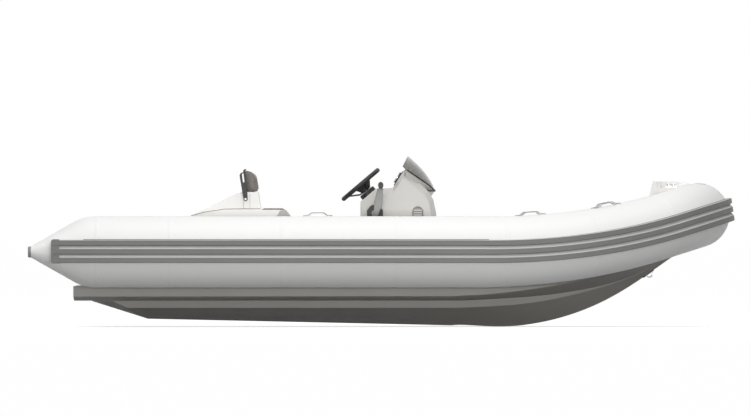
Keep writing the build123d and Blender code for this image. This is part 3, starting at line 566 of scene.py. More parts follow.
seamTape = {"width": 0.036, "thickness": 0.0005, "edge": 0.003, "bury": 0.001, "around": 96}
halfTape = seamTape["width"] / 2
tapeProfile = profileObject("tapeProfile", [
    (-seamTape["bury"], -halfTape), (seamTape["thickness"], -halfTape + seamTape["edge"]),
    (seamTape["thickness"], halfTape - seamTape["edge"]), (-seamTape["bury"], halfTape),
])
tapeRuns = [[skinPoint(along, turn, -skin["pinch"]) for turn in turnsRound(seamTape["around"])]
            for along in seamPlaces]
sweep("collar_seam_tapes", tapeRuns, tapeProfile, "seam_tape", closed=True)
print("collar and seam tapes made")

# rubbing strake
# two of the keys below pick the upward slopes that get the painted highlight
strake = {
    "depth": 0.030, "ribs": 3, "pitch": 0.0615, "face": 0.034, "groove": 0.017, "undercut": 0.006,
    "top": 0.087, "edge": 0.004, "bury": 0.001, "aft": -2.303, "step": 0.05, "highlightSlopes": (0.25, 0.8),
    "highlightFacing": 0.3,
}
strakeStops = np.linspace(0, 2 * halfRun, 300)
strakeCentres = [collarStation(along)[0] for along in strakeStops]


def strakeOutline(radius):
    front, edge = radius + strake["depth"], strake["edge"]
    points = [(front - edge, strake["top"])]
    for rib in range(strake["ribs"]):
        top = strake["top"] - edge - rib * strake["pitch"]
        low = top - strake["face"]
        points += [(front, top), (front, low)]
        if rib < strake["ribs"] - 1:
            points.append((front - strake["groove"], low - strake["undercut"]))
    foot = points[-1][1] - edge
    points.append((front - edge, foot))
    backHeights = np.linspace(foot, strake["top"], 9)
    return points + [(math.sqrt(radius**2 - z**2) - strake["bury"], z) for z in backHeights]


def strakeRing(along):
    # aft of the tube's end the strake runs straight on over the cone
    point, _, outboard, radius = collarStation(max(0, along))
    point = point + forward * min(0, along)
    up = collarUp(max(0, along))
    return [point + outboard * x + up * y for x, y in strakeOutline(radius)]


def isPaintedHighlightSlope(face):
    # the slopes between the ribs that face up and out take the lighter copy of the rubber, a painted
    # highlight for the light from above
    gaps = [(centre - face.center).length for centre in strakeCentres]
    along = strakeStops[int(np.argmin(gaps))]
    low, high = strake["highlightSlopes"]
    outward = face.normal.dot(collarStation(along)[2])
    return low < face.normal.dot(collarUp(along)) < high and outward > strake["highlightFacing"]


def makeStrake():
    tail = strake["aft"] - collar["aft"]
    curved = sideRun + bowRun
    count = round(curved / strake["step"])
    stops = [tail, tail * 0.5, 0.0] + [straightRun * i / 6 for i in range(1, 7)]
    stops += [straightRun + curved * i / count for i in range(1, count + 1)]
    rings = [strakeRing(along) for along in stops]
    mirrored = [[point * otherSide for point in ring] for ring in reversed(rings[:-1])]
    mesh = shellPiece("rubbing_strake", rings + mirrored, 24, "strake_rubber", replaces=["rub_strake"]).data
    # the upward slopes get the lighter copy of the rubber: painted highlight
    mesh.materials.append(finish["strake_painted_highlight"])
    for face in mesh.polygons:
        face.material_index = int(isPaintedHighlightSlope(face))


makeStrake()
print("rubbing strake made")

# CAD nodes that only need their finish
plainNodes = {
    # the console takes the darkened white gelcoat, which is painted shade
    "gelcoat_taupe": "hull", "gelcoat_white_painted_shade": "console_body console_door", "rubber_grey": "cone_caps",
    "gelcoat_white": "transom_board cockpit_floor foredeck bow_locker_lid bow_step seat_base seat_door "
                     "seat_cheeks",
    "stainless": "bow_eye stern_eyes bow_cleats roller_frame", "strake_rubber": "strake_ends",
    "black_plastic": "drain_plug anchor_roller instrument_panel gauges screen_brackets helm_base wheel_hub "
                     "wheel_spokes throttle_box backrest_arms backrest_shell",
    "handle_rubber": "tube_handles", "valve_plastic": "tube_valves", "wheel_rubber": "wheel_rim",
    "vent_plastic": "side_vent",
}
for finishName, nodeNames in plainNodes.items():
    for nodeName in nodeNames.split():
        materials = cadNodes[nodeName].data.materials
        materials.clear()
        materials.append(finish[finishName])
print("CAD nodes dressed")

# surfaces that the details lie on
surfaces = {}


def surfaceOf(name, mesh=None):
    if name not in surfaces:
        mesh = mesh or cadNodes[name].data
        surfaces[name] = BVHTree.FromPolygons([vert.co.copy() for vert in mesh.vertices],
                                              [tuple(face.vertices) for face in mesh.polygons])
    return surfaces[name]


def castOn(name, points, direction, proud=0.0):
    # (point, facing) where rays from the points meet a surface
    rows, direction = [], Vector(direction)
    for point in points:
        hit, facing, _, _ = surfaceOf(name).ray_cast(Vector(point), direction)
        if hit:
            facing = facing if facing.dot(direction) < 0 else -facing
            rows.append((hit + facing * proud, facing))
    return rows


# seat cushion and backrest pad, blown up from slightly smaller bodies
swelling = {"shrink": 0.004, "voxel": 0.006, "pressure": 4.0, "frames": 20, "heldFrom": 0.8, "sink": 0.001,
            "channelFrom": 0.3}
padding = {
    "seat": {
        "node": "seat_cushion", "body": "boat", "spread": (0.0036, 0.0036), "rise": 0.0075,
        "held": (0, 0, -1), "fill": 0.75, "face": (0, 0, 1), "channels": [-0.128, 0.128],
        "channelDepth": 0.004, "channelWidth": 0.009,
    },
    "backrest": {
        "node": "backrest_pad", "body": "backrest", "spread": (0.011, 0.0036), "rise": 0.0036,
        "held": (-0.985, 0, 0.1), "fill": 0.7, "face": (1, 0, 0), "channels": [-0.1, 0.1],
        "channelDepth": 0.005, "channelWidth": 0.010,
    },
}


def shrunkCopy(name, node):
    mesh = cadNodes[node].data.copy()
    mesh.name = name
    work = bmesh.new()
    work.from_mesh(mesh)
    bmesh.ops.remove_doubles(work, verts=work.verts, dist=1e-5)
    bmesh.ops.recalc_face_normals(work, faces=work.faces)
    moves = [vert.normal * swelling["shrink"] * vert.calc_shell_factor() for vert in work.verts]
    for vert, move in zip(work.verts, moves):
        vert.co -= move
    work.to_mesh(mesh)
    work.free()
    piece = addObject(name, mesh)
    remesh = piece.modifiers.new("even", "REMESH")
    remesh.mode = "VOXEL"
    remesh.voxel_size = swelling["voxel"]
    return bakeModifiers(piece)


def meshVectors(mesh, label):
    numbers = np.empty(len(mesh.vertices) * 3)
    mesh.vertices.foreach_get(label, numbers)
    return numbers.reshape(-1, 3)


def inflate(piece, heldWay):
    held = piece.vertex_groups.new(name="held")
    still = [vert.index for vert in piece.data.vertices if vert.normal.dot(heldWay) > swelling["heldFrom"]]
    held.add(still, 1.0, "REPLACE")
    cloth = piece.modifiers.new("swell", "CLOTH")
    cloth.settings.use_pressure = True
    cloth.settings.uniform_pressure_force = swelling["pressure"]
    cloth.settings.effector_weights.gravity = 0
    cloth.settings.vertex_group_mass = "held"
    cloth.point_cache.frame_start, cloth.point_cache.frame_end = 1, swelling["frames"]
    for frameNumber in range(1, swelling["frames"] + 1):
        bpy.context.scene.frame_set(frameNumber)
    bakeModifiers(piece)
    bpy.context.scene.frame_set(1)
    piece.vertex_groups.clear()


def makePadding(name, look):
    piece = shrunkCopy(name, look["node"])
    rest = meshVectors(piece.data, "co")
    inflate(piece, Vector(look["held"]))
    mesh, (aside, across) = piece.data, look["spread"]
    move = np.clip(meshVectors(mesh, "co") - rest, (-aside, -across, -swelling["sink"]),
                   (aside, across, look["rise"]))
    points = rest + move
    # sewn channels pull the face in
    face = np.array(look["face"])
    onFace = meshVectors(mesh, "normal") @ face > swelling["channelFrom"]
    for channel in look["channels"]:
        pull = np.exp(-((points[:, 1] - channel) / look["channelWidth"]) ** 2) * look["channelDepth"]
        points -= face * (pull * onFace)[:, None]
    mesh.vertices.foreach_set("co", points.ravel())
    mesh.update()
    subdivide = piece.modifiers.new("finer", "SUBSURF")
    subdivide.levels = subdivide.render_levels = 1
    bakeModifiers(piece)
    smoothByAngle(piece.data, 180)
    settle(piece, "seat_vinyl", look["body"], [look["node"]])
    surfaceOf(name, piece.data)


makePadding("seat_padding", padding["seat"])
makePadding("backrest_padding", padding["backrest"])
print("cushions made")

# piping and stitches on the cushions
piping = {
    "radius": 0.0024, "sink": 0.0006, "inset": 0.008, "below": 0.003, "corner": 0.05, "front": 0.27,
    "step": 0.012, "stitch": {"Pitch": 0.007, "Length": 0.0048, "Thickness": 0.0011}, "stitchGap": 0.007,
    "stitchLift": 0.0004, "seatEnd": 0.016, "seatAbove": 0.70, "backAhead": -0.70,
    "backHeights": (0.765, 0.885),
    "backOutline": [(-0.967, 0.748), (-0.984, 0.898), (-0.976, 0.906), (-0.940, 0.895), (-0.914, 0.860),
                    (-0.895, 0.753)],
}


def huggingRun(name, corners):
    # a closed run along the corners, moved to the nearest places on a surface
    run = []
    for first, second in zip(corners, corners[1:] + corners[:1]):
        first, second = Vector(first), Vector(second)
        count = max(1, round((second - first).length / piping["step"]))
        for i in range(count):
            hit, facing, _, _ = surfaceOf(name).find_nearest(first.lerp(second, i / count))
            run.append((hit - facing * piping["sink"], facing))
    return run


def stitchRuns(name, channels, spots, direction):
    # a row of stitches on each side of each sewn channel; spots are places along it in x and z
    return [castOn(name, [(x, channel + gap, z) for x, z in spots], direction, piping["stitchLift"])
            for channel in channels for gap in (-piping["stitchGap"], piping["stitchGap"])]


(seatAft, _, _), (seatFore, seatHalf, seatTop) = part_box("seat_cushion")
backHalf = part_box("backrest_pad")[1][1]
inset = piping["inset"]
seatCorners = [(seatAft + inset, -seatHalf + inset), (seatFore - piping["corner"], -seatHalf + inset),
               (seatFore - inset, -piping["front"])]
seatCorners += [(x, -y) for x, y in reversed(seatCorners)]
seatRun = huggingRun("seat_padding", [(x, y, seatTop - piping["below"]) for x, y in seatCorners])
roundBar("seat_piping", [seatRun], piping["radius"], "seat_vinyl", closed=True)
backRuns = [huggingRun("backrest_padding", [(x, side * backHalf, z) for x, z in piping["backOutline"]])
            for side in (-1, 1)]
roundBar("backrest_piping", backRuns, piping["radius"], "seat_vinyl", "backrest", closed=True)
seatLengths = np.linspace(seatAft + piping["seatEnd"], seatFore - piping["seatEnd"], 16)
backHeights = np.linspace(*piping["backHeights"], 14)
seatStitches = stitchRuns("seat_padding", padding["seat"]["channels"],
                          [(x, piping["seatAbove"]) for x in seatLengths], (0, 0, -1))
backStitches = stitchRuns("backrest_padding", padding["backrest"]["channels"],
                          [(piping["backAhead"], z) for z in backHeights], (-1, 0, 0))
stitch("seat_stitches", seatStitches, piping["stitch"], "thread")
stitch("backrest_stitches", backStitches, piping["stitch"], "thread", "backrest")
print("piping and stitches made")

# black rod along the seat's rim: painted shade for the shadow gap under the upper moulding
rimShade = {"radius": 0.0035, "inset": 0.004, "from": -1.368, "to": -0.872, "above": 0.80, "lift": 0.0004}
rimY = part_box("seat_base")[1][1] - rimShade["inset"]
rimLengths = np.linspace(rimShade["from"], rimShade["to"], 60)
rimShadeRuns = [castOn("seat_base", [(x, y, rimShade["above"]) for x in rimLengths], (0, 0, -1), rimShade["lift"])
            for y in (-rimY, rimY)]
roundBar("seat_edging", rimShadeRuns, rimShade["radius"], "black_plastic", corners=10)

# windscreen with the rubber gasket at its foot; rows are (x, z) up the middle of the sheet
screen = {
    "rows": [(0.386, 0.745), (0.350, 0.830), (0.300, 0.900), (0.185, 1.010)],
    "foot": [(0.150, 0.930), (0.163, 0.918), (0.342, 0.797), (0.392, 0.748)],
    "top": [(0.155, 0.943), (0.187, 1.007)], "planRadius": 0.438, "half": 0.295, "thickness": 0.005,
    "lean": 0.55, "across": 60, "up": 16, "gasket": 0.0055, "gasketEnd": 0.001,
}
screenCurve = np.polyfit([z for _, z in screen["rows"]], [x for x, _ in screen["rows"]], 3)


def screenSpan(y):
    # heights of the sheet's foot and head at one place across it, and how far it bends aft there
    sag = screen["planRadius"] - math.sqrt(screen["planRadius"] ** 2 - y**2)
    heights = np.linspace(screen["rows"][0][1], screen["rows"][-1][1], 600)
    along = np.polyval(screenCurve, heights) - sag
    foot = np.interp(along, *zip(*screen["foot"]))
    (topX, topZ), (headX, headZ) = screen["top"]
    inside = (heights >= foot) & (along >= topX + (heights - topZ) * (headX - topX) / (headZ - topZ))
    return heights[inside][0], heights[inside][-1], sag


def screenPoint(y, z, sag):
    return Vector((float(np.polyval(screenCurve, z)) - sag, y, z))


def screenFacing(y):
    return Vector((math.sqrt(1 - (y / screen["planRadius"]) ** 2), y / screen["planRadius"], 0))


def makeScreen():
    rings = []
    for y in np.linspace(-screen["half"], screen["half"], screen["across"]):
        low, high, sag = screenSpan(y)
        outer = [screenPoint(y, z, sag) for z in np.linspace(low, high, screen["up"])]
        back = (screenFacing(y) + upward * screen["lean"]).normalized() * screen["thickness"]
        rings.append(outer + [point - back for point in reversed(outer)])
    shellPiece("windscreen_sheet", rings, 40, "smoked_screen", replaces=["windscreen"])


makeScreen()
gasketHalf, gasketRun = screen["half"] - screen["gasketEnd"], []
for y in np.linspace(-gasketHalf, gasketHalf, 45):
    low, _, sag = screenSpan(y)
    gasketRun.append((screenPoint(y, low, sag), screenFacing(y)))
roundBar("windscreen_gasket", [gasketRun], screen["gasket"], "black_plastic", corners=10)
print("edging, windscreen and gasket made")

# fairing that joins the console's brow to the foot of the windscreen
fairing = {
    "thickness": 0.010, "rows": 5, "down": (-0.55, 0, -0.835), "bury": 0.006, "reach": 0.12, "least": 0.012,
}


def makeFairing():
    down = Vector(fairing["down"]).normalized()
    rings = []
    for point, facing in gasketRun:
        hit, _, _, drop = surfaceOf("console_body").ray_cast(point, down)
        drop = drop if hit and drop < fairing["reach"] else fairing["least"]
        low = point + down * (drop + fairing["bury"])
        outer = [point.lerp(low, i / fairing["rows"]) for i in range(fairing["rows"] + 1)]
        rings.append(outer + [place - facing * fairing["thickness"] for place in reversed(outer)])
    # the fairing takes the darkened white gelcoat: painted shade
    shellPiece("windscreen_fairing", rings, 35, "gelcoat_white_painted_shade")


makeFairing()

# throttle arm with its knob
throttle = {
    "arm": [(-0.060, 0.590), (-0.056, 0.679), (-0.031, 0.776), (0.009, 0.776), (0.002, 0.655),
            (-0.030, 0.575)],
    "near": -0.378, "far": -0.352, "bevel": 0.004, "disc": (-0.050, -0.348, 0.596),
    "discOutline": [(0.025, -0.004), (0.025, 0.011), (0.022, 0.014), (0.009, 0.014), (0.008, 0.012),
                    (0.002, 0.012)],
    "knob": (-0.009, 0.797), "knobHalf": (0.018, 0.024), "knobProud": 0.013, "knobBevel": 0.005,
    "ring": 0.0014, "ringProud": 0.0005, "ringOut": 0.002,
}
knobX, knobZ = throttle["knob"]


def knobOutline(count, proud=0.0):
    wide, tall = (half + proud for half in throttle["knobHalf"])
    return [(knobX + wide * math.cos(t), knobZ + tall * math.sin(t)) for t in turnsRound(count)]


def plate(name, outline, near, far, bevel):
    # an outline in x and z made solid between two values of y
    mesh = gridMesh(name, [[(x, y, z) for x, z in outline] for y in (near, far)], closeEnds=True)
    work = bmesh.new()
    work.from_mesh(mesh)
    bmesh.ops.bevel(work, geom=work.edges[:], offset=bevel, segments=3, affect="EDGES", profile=0.6)
    work.to_mesh(mesh)
    work.free()
    outwardNormals(mesh)
    smoothByAngle(mesh, 40)
    return addObject(name, mesh)


def turnedPiece(name, outline, place, axis, finishName, body="boat"):
    # a turned body standing at a place along an axis
    mesh = turned(name, outline, 40).data
    turn = upward.rotation_difference(Vector(axis)).to_matrix().to_4x4()
    mesh.transform(Matrix.Translation(place) @ turn)
    smoothByAngle(mesh, 35)
    settle(addObject(name, mesh), finishName, body)


arm = plate("throttle_arm", throttle["arm"], throttle["near"], throttle["far"], throttle["bevel"])
settle(arm, "lever_grey", replaces=["throttle_lever"])
turnedPiece("throttle_disc", throttle["discOutline"], throttle["disc"], (0, -1, 0), "lever_grey")
knob = plate("throttle_knob", knobOutline(20), throttle["near"] - throttle["knobProud"],
             throttle["far"] + throttle["knobProud"], throttle["knobBevel"])
settle(knob, "black_plastic", replaces=["throttle_grip"])
knobRing = [(Vector((x, throttle["near"] - throttle["ringOut"], z)), -toPort)
            for x, z in knobOutline(32, throttle["ringProud"])]
roundBar("throttle_knob_ring", [knobRing], throttle["ring"], "stainless", closed=True)

# boot over the steering shaft, cap on the hub and screws of the base
helm = {
    "foot": (-0.0927, 0, 0.7317), "normal": (-0.6462, 0, 0.7631), "capHeight": 0.1013,
    "boot": [(0.034, 0.034), (0.038, 0.037), (0.038, 0.050), (0.044, 0.060), (0.054, 0.076), (0.057, 0.084),
             (0.055, 0.088), (0.030, 0.088)],
    "cap": [(0.026, -0.002), (0.026, 0.001), (0.0245, 0.003), (0.018, 0.0042), (0.004, 0.0046)],
    "screws": 6, "screwHeight": 0.0300, "screwRing": 0.0475,
}
screwHead = turned("screwHead", [(0.0050, -0.0006), (0.0050, 0.0007), (0.0040, 0.0019), (0.0019, 0.0022),
                                 (0.0016, 0.0009)], 12)
helmFoot, helmNormal = Vector(helm["foot"]), Vector(helm["normal"])
turnedPiece("wheel_boot", helm["boot"], helmFoot, helmNormal, "black_plastic", "helm")
capFoot = helmFoot + helmNormal * helm["capHeight"]
turnedPiece("wheel_hub_cap", helm["cap"], capFoot, helmNormal, "stainless", "helm")
across = helmNormal.cross(toPort).normalized()
baseScrews = []
for turn in turnsRound(helm["screws"]):
    turn += math.pi / helm["screws"]
    out = across * math.cos(turn) + toPort * math.sin(turn)
    spot = helmFoot + helmNormal * helm["screwHeight"] + out * helm["screwRing"]
    baseScrews.append((spot, helmNormal, across))
scatter("helm_base_screws", baseScrews, screwHead, "stainless")
print("throttle and helm details made")

# grille of the side vent
vent = {
    "low": (0.218, 0.500), "high": (0.297, 0.646), "face": -0.306, "frame": 0.0042, "inside": 0.93,
    "lift": 0.003, "cut": 0.15, "slats": 7, "slatStart": 0.016, "slatPitch": 0.0168,
    "slat": (0.058, 0.011, 0.003), "slatFacing": (0, -0.82, 0.57),
}
(ventAft, ventLow), (ventFore, ventHigh) = vent["low"], vent["high"]
ventRadius = (ventFore - ventAft) / 2
ventMiddle, ventSpring = ventAft + ventRadius, ventHigh - ventRadius
ventArch = [(ventMiddle - ventRadius * math.cos(t), ventSpring + ventRadius * math.sin(t))
            for t in np.linspace(vent["cut"], math.pi - vent["cut"], 14)]
ventPath = [(ventAft, ventLow), (ventAft, ventSpring), *ventArch, (ventFore, ventSpring), (ventFore, ventLow)]
ventRun = []
for x, z in ventPath:
    z += -vent["lift"] if z > ventSpring else vent["lift"]
    ventRun.append((Vector((ventMiddle + (x - ventMiddle) * vent["inside"], vent["face"], z)), -toPort))
roundBar("vent_frame", [ventRun], vent["frame"], "rubber_grey", closed=True, corners=10)
slatFacing = Vector(vent["slatFacing"]).normalized()
slatHeights = [ventLow + vent["slatStart"] + i * vent["slatPitch"] for i in range(vent["slats"])]
slatRows = [(Vector((ventMiddle, vent["face"], z)), slatFacing, forward) for z in slatHeights]
# the slats take the darkened white gelcoat: painted shade
scatter("vent_slats", slatRows, blockTemplate("ventSlat", vent["slat"]), "gelcoat_white_painted_shade")

# dark lines along the edges of the backrest posts: painted shade
post = {"seams": (-0.9935, -0.9475), "side": 0.3845, "low": 0.629, "high": 0.736, "radius": 0.0012}
postHeights = np.linspace(post["low"], post["high"], 8)
postShadeRuns = [[(Vector((x, side * post["side"], z)), toPort * side) for z in postHeights]
            for side in (-1, 1) for x in post["seams"]]
roundBar("post_seams", postShadeRuns, post["radius"], "rubber_grey", corners=6)

# carrying handles: dark grey rods along both sides of each strap, painted shade outlining the straps
handle = {
    "stations": [-0.462, 1.087, 1.655], "half": 0.100, "strap": 0.006, "height": 0.025, "pad": 0.032,
    "rise": 0.026, "halfWidth": 0.0145, "shadeRadius": 0.0022,
}


def handleFrame(x, side):
    # place, heading, upward direction and tube radius at a length along the boat
    fromSheer = x - collar["sheerStart"]
    along = x - collar["aft"] if fromSheer <= 0 else straightRun + sideArc * math.asin(fromSheer / sideArc)
    point, heading, _, _ = collarStation(along)
    mirror = Vector((1, side, 1))
    up = (upward - heading * heading.z).normalized()
    radius = radiusAt(max(0.0, fromSheer / (sideEndX - collar["sheerStart"])))
    return point * mirror, heading * mirror, up * mirror, radius


def strapRuns(x, side):
    point, heading, up, radius = handleFrame(x, side)
    lateral = heading.cross(up)
    strapTop, padEnd = radius + handle["strap"], -handle["half"] + handle["pad"]
    arch = [(-handle["half"], radius), (-handle["half"], strapTop), (padEnd, strapTop),
            (padEnd + handle["rise"], radius + handle["height"])]
    arch += [(-a, height) for a, height in reversed(arch)]
    return [[(point + heading * a + up * height + lateral * edge * handle["halfWidth"], lateral * edge)
             for a, height in arch] for edge in (-1, 1)]


# the dark rods stand for the shade round each strap: painted shade
shadeEdgeRuns = [run for x in handle["stations"] for side in (-1, 1) for run in strapRuns(x, side)]
roundBar("handle_edges", shadeEdgeRuns, handle["shadeRadius"], "rubber_grey")
print("vent and handles made")

# inflation valves: rim, cap and ribs of the cap on each
valve = {
    "stations": [-1.500, -0.200, 1.150], "height": 0.0062, "raise": 0.6, "ribs": 12, "ribRing": 0.0198,
    "rim": [(0.0300, -0.001), (0.0300, 0.0010), (0.0275, 0.0022), (0.0240, 0.0018), (0.0235, -0.001)],
    "cap": [(0.0195, -0.001), (0.0195, 0.0035), (0.0175, 0.0050), (0.0060, 0.0054), (0.0050, 0.0040)],
    "rib": (0.0016, 0.0024, 0.0040), "ribBevel": 0.0004,
}


def valveRow(x, side):
    point, heading, _, radius = handleFrame(x, side)
    inboard = upward.cross(heading).normalized()
    inboard = inboard if inboard.y * side < 0 else -inboard
    normal = (inboard + upward * valve["raise"]).normalized()
    return point + normal * (radius + valve["height"]), normal, heading


valveRows = [valveRow(x, side) for x in valve["stations"] for side in (-1, 1)]
scatter("valve_rims", valveRows, ringTemplate("valveRim", valve["rim"]), "valve_plastic")
scatter("valve_caps", valveRows, turned("valveCap", valve["cap"]), "black_plastic")
ribRows = []
for point, normal, heading in valveRows:
    for turn in turnsRound(valve["ribs"]):
        way = Matrix.Rotation(turn, 3, normal) @ heading
        ribRows.append((point + way * valve["ribRing"], normal, way))
capRib = blockTemplate("capRib", valve["rib"], valve["ribBevel"])
scatter("valve_cap_ribs", ribRows, capRib, "black_plastic")

# instrument panel: bezels, marks, needles, rockers and screws
panel = {
    "middle": (0.121, 0.0, 0.847), "normal": (-0.8431, 0, 0.5376), "along": (0.5376, 0, 0.8431),
    "gauges": (-0.120, -0.020, 0.080), "gaugeTop": 0.016, "faceTop": 0.005, "marks": 21, "sweep": 270.0,
    "longMark": 0.0315, "shortMark": 0.0330, "longEvery": 4, "markLift": 0.0003,
    "needles": (-118, -96, -30), "needleOut": 0.010, "needleLift": 0.0010, "pinLift": 0.0008,
    "switchSides": (0.147, 0.172), "switchRows": (-0.030, 0.0, 0.030), "rockerLift": 0.0016,
    "rockerTilt": 0.14, "screwSide": 0.188, "screwRow": 0.048,
    "bezel": [(0.0428, -0.006), (0.0430, 0.0006), (0.0408, 0.0022), (0.0378, 0.0014), (0.0370, -0.001)],
    "face": [(0.0372, -0.0004), (0.0372, 0.0003), (0.0020, 0.0004)],
    "pin": [(0.0036, -0.0006), (0.0036, 0.0010), (0.0026, 0.0018), (0.0006, 0.0019)],
    # size and bevel of each small block
    "mark": ((0.0046, 0.0010, 0.0004), 0.0001), "needle": ((0.0300, 0.0014, 0.0007), 0.0002),
    "well": ((0.0250, 0.0150, 0.0022), 0.0008), "rocker": ((0.0205, 0.0105, 0.0040), 0.0010),
    "screwSize": 0.8,
}
panelMiddle, panelNormal, panelAlong = (Vector(panel[key]) for key in ("middle", "normal", "along"))


def panelRow(side, row, height, facing=panelNormal):
    # a place on the panel, from its distances to port, up the slope and off the face
    return panelMiddle + toPort * side + panelAlong * row + panelNormal * height, facing, panelAlong


def dialWay(degreesRound):
    turn = math.radians(degreesRound)
    return panelAlong * math.cos(turn) + toPort * math.sin(turn)


gaugeRows = [panelRow(y, 0, panel["gaugeTop"]) for y in panel["gauges"]]
scatter("gauge_bezels", gaugeRows, ringTemplate("gaugeBezel", panel["bezel"]), "stainless")
scatter("gauge_faces", gaugeRows, turned("gaugeFace", panel["face"], 32), "dial_face")
markRows, needleRows = [], []
for (spot, _, _), reading in zip(gaugeRows, panel["needles"]):
    for i in range(panel["marks"]):
        way = dialWay(panel["sweep"] * (i / (panel["marks"] - 1) - 0.5))
        reach = panel["shortMark"] if i % panel["longEvery"] else panel["longMark"]
        markRows.append((spot + way * reach + panelNormal * panel["markLift"], panelNormal, way))
    way = dialWay(reading)
    pivot = spot + panelNormal * panel["needleLift"]
    needleRows.append((pivot + way * panel["needleOut"], panelNormal, way))
scatter("gauge_marks", markRows, blockTemplate("gaugeMark", *panel["mark"]), "dial_mark")
scatter("gauge_needles", needleRows, blockTemplate("gaugeNeedle", *panel["needle"]), "needle_red")
pinRows = [panelRow(y, 0, panel["gaugeTop"] + panel["pinLift"]) for y in panel["gauges"]]
scatter("needle_pins", pinRows, turned("needlePin", panel["pin"], 16), "black_plastic")
switches = [(y, a) for y in panel["switchSides"] for a in panel["switchRows"]]
scatter("switch_wells", [panelRow(y, a, panel["faceTop"]) for y, a in switches],
        blockTemplate("switchWell", *panel["well"]), "rubber_grey")
rockerFacing = (panelNormal + panelAlong * panel["rockerTilt"]).normalized()
rockerTop = panel["faceTop"] + panel["rockerLift"]
scatter("switch_rockers", [panelRow(y, a, rockerTop, rockerFacing) for y, a in switches],
        blockTemplate("switchRocker", *panel["rocker"]), "black_plastic")
cornerScrews = [panelRow(side * panel["screwSide"], row * panel["screwRow"], panel["faceTop"])
                for side in (-1, 1) for row in (-1, 1)]
scatter("panel_screws", cornerScrews, screwHead, "stainless", size=panel["screwSize"])
print("valves and instruments made")

# hinges and latches of the doors and the bow lid
fittings = {
    "barrelHalf": [(0.0042, 0.0085), (0.0036, 0.0090), (0.0042, 0.0095), (0.0042, 0.0280), (0.0030, 0.0290)],
    "leaf": (0.050, 0.017, 0.0020), "leafBevel": 0.0006, "leafSide": 0.0135, "leafDepths": (0.0010, 0.0153),
    "screwPitch": 0.017, "screwSide": 0.002, "screwLift": 0.0018, "screwSize": 0.55,
    "latch": [(0.0210, -0.0006), (0.0210, 0.0012), (0.0190, 0.0026), (0.0150, 0.0026), (0.0140, 0.0012)],
    "latchBar": (0.0250, 0.0065, 0.0070), "latchBevel": 0.0016, "latchInset": 0.036, "latchDepth": 0.0010,
    # the body that each door is, and the length of its hinge side
    "doors": {"seat": ("seat_locker_door", 0.24), "console": ("console_access_door", 0.32)},
    "doorSpots": (0.16, 0.84), "lidSpots": (-0.17, 0.17), "lidLeaf": 0.013, "lidScrew": 0.015,
    "lidFoot": (0.050, 0.014, 0.019), "lidFootBevel": 0.0015, "lidFootAhead": 0.010, "lidFootHeight": 0.430,
    "lidLatch": 0.040,
}
joints = {joint["name"]: joint for joint in frame["joints"]}
lowerHalf = [(radius, -height) for radius, height in reversed(fittings["barrelHalf"])]
barrel = turned("hingeBarrel", lowerHalf + fittings["barrelHalf"], 16)
leaf = blockTemplate("hingeLeaf", fittings["leaf"], fittings["leafBevel"])
latch = turned("latch", fittings["latch"], 28)
latchBar = blockTemplate("latchBar", fittings["latchBar"], fittings["latchBevel"])


def fitDoor(name, body, height):
    # barrels on the joint's axis, with one leaf on the door and one on the frame, and a latch
    joint = joints[name + "_door_open"]
    foot, axis = Vector(joint["pos_m"]), Vector(joint["axis"]).normalized()
    facing = toPort.cross(axis).normalized()
    barrels = [(foot + axis * height * share, axis, facing) for share in fittings["doorSpots"]]
    scatter(name + "_hinge_barrels", barrels, barrel, "stainless")
    holders = (("door", -1, body), ("frame", 1, "boat"))
    leaves = {holder: [(spot + toPort * side * fittings["leafSide"] - facing * depth, facing, axis)
                       for spot, _, _ in barrels]
              for (holder, side, _), depth in zip(holders, fittings["leafDepths"])}
    for holder, _, carrier in holders:
        scatter(f"{name}_{holder}_leaves", leaves[holder], leaf, "stainless", carrier)
    for holder, side, carrier in holders:
        offset = toPort * side * fittings["screwSide"] + facing * fittings["screwLift"]
        screws = [(spot + axis * fittings["screwPitch"] * i + offset, facing, axis)
                  for spot, _, _ in leaves[holder] for i in (-1, 0, 1)]
        scatter(f"{name}_{holder}_screws", screws, screwHead, "stainless", carrier, fittings["screwSize"])
    spot = foot + axis * height * 0.5 - facing * fittings["latchDepth"]
    spot.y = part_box(name + "_door")[0][1] + fittings["latchInset"]
    scatter(name + "_latch", [(spot, facing, axis)], latch, "black_plastic", body)
    scatter(name + "_latch_bar", [(spot, facing, axis)], latchBar, "stainless", body)


for doorName, (doorBody, doorHeight) in fittings["doors"].items():
    fitDoor(doorName, doorBody, doorHeight)
lidJoint = Vector(joints["bow_lid_open"]["pos_m"])
(lidAft, lidStarboard, _), (lidFore, lidPort, lidTop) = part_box("bow_locker_lid")


def lidRow(x, y, z=lidTop):
    return Vector((x, y, z)), upward, toPort


lidSpots = fittings["lidSpots"]
lidBarrels = [(Vector((lidJoint.x, y, lidJoint.z)), toPort, forward) for y in lidSpots]
scatter("lid_hinge_barrels", lidBarrels, barrel, "stainless")
lidLeaves = [lidRow(lidFore - fittings["lidLeaf"], y) for y in lidSpots]
scatter("lid_leaves", lidLeaves, leaf, "stainless", "bow_lid")
lidFeet = [lidRow(lidJoint.x + fittings["lidFootAhead"], y, fittings["lidFootHeight"]) for y in lidSpots]
hingeFoot = blockTemplate("hingeFoot", fittings["lidFoot"], fittings["lidFootBevel"])
scatter("lid_hinge_feet", lidFeet, hingeFoot, "stainless")
lidScrews = [lidRow(lidFore - fittings["lidScrew"], y + side * fittings["screwPitch"],
                    lidTop + fittings["screwLift"]) for y in lidSpots for side in (-1, 1)]
scatter("lid_screws", lidScrews, screwHead, "stainless", "bow_lid", fittings["screwSize"])
lidLatch = [lidRow(lidAft + fittings["lidLatch"], 0)]
scatter("lid_latch", lidLatch, latch, "black_plastic", "bow_lid")
scatter("lid_latch_bar", lidLatch, latchBar, "stainless", "bow_lid")
print("hinges and latches made")

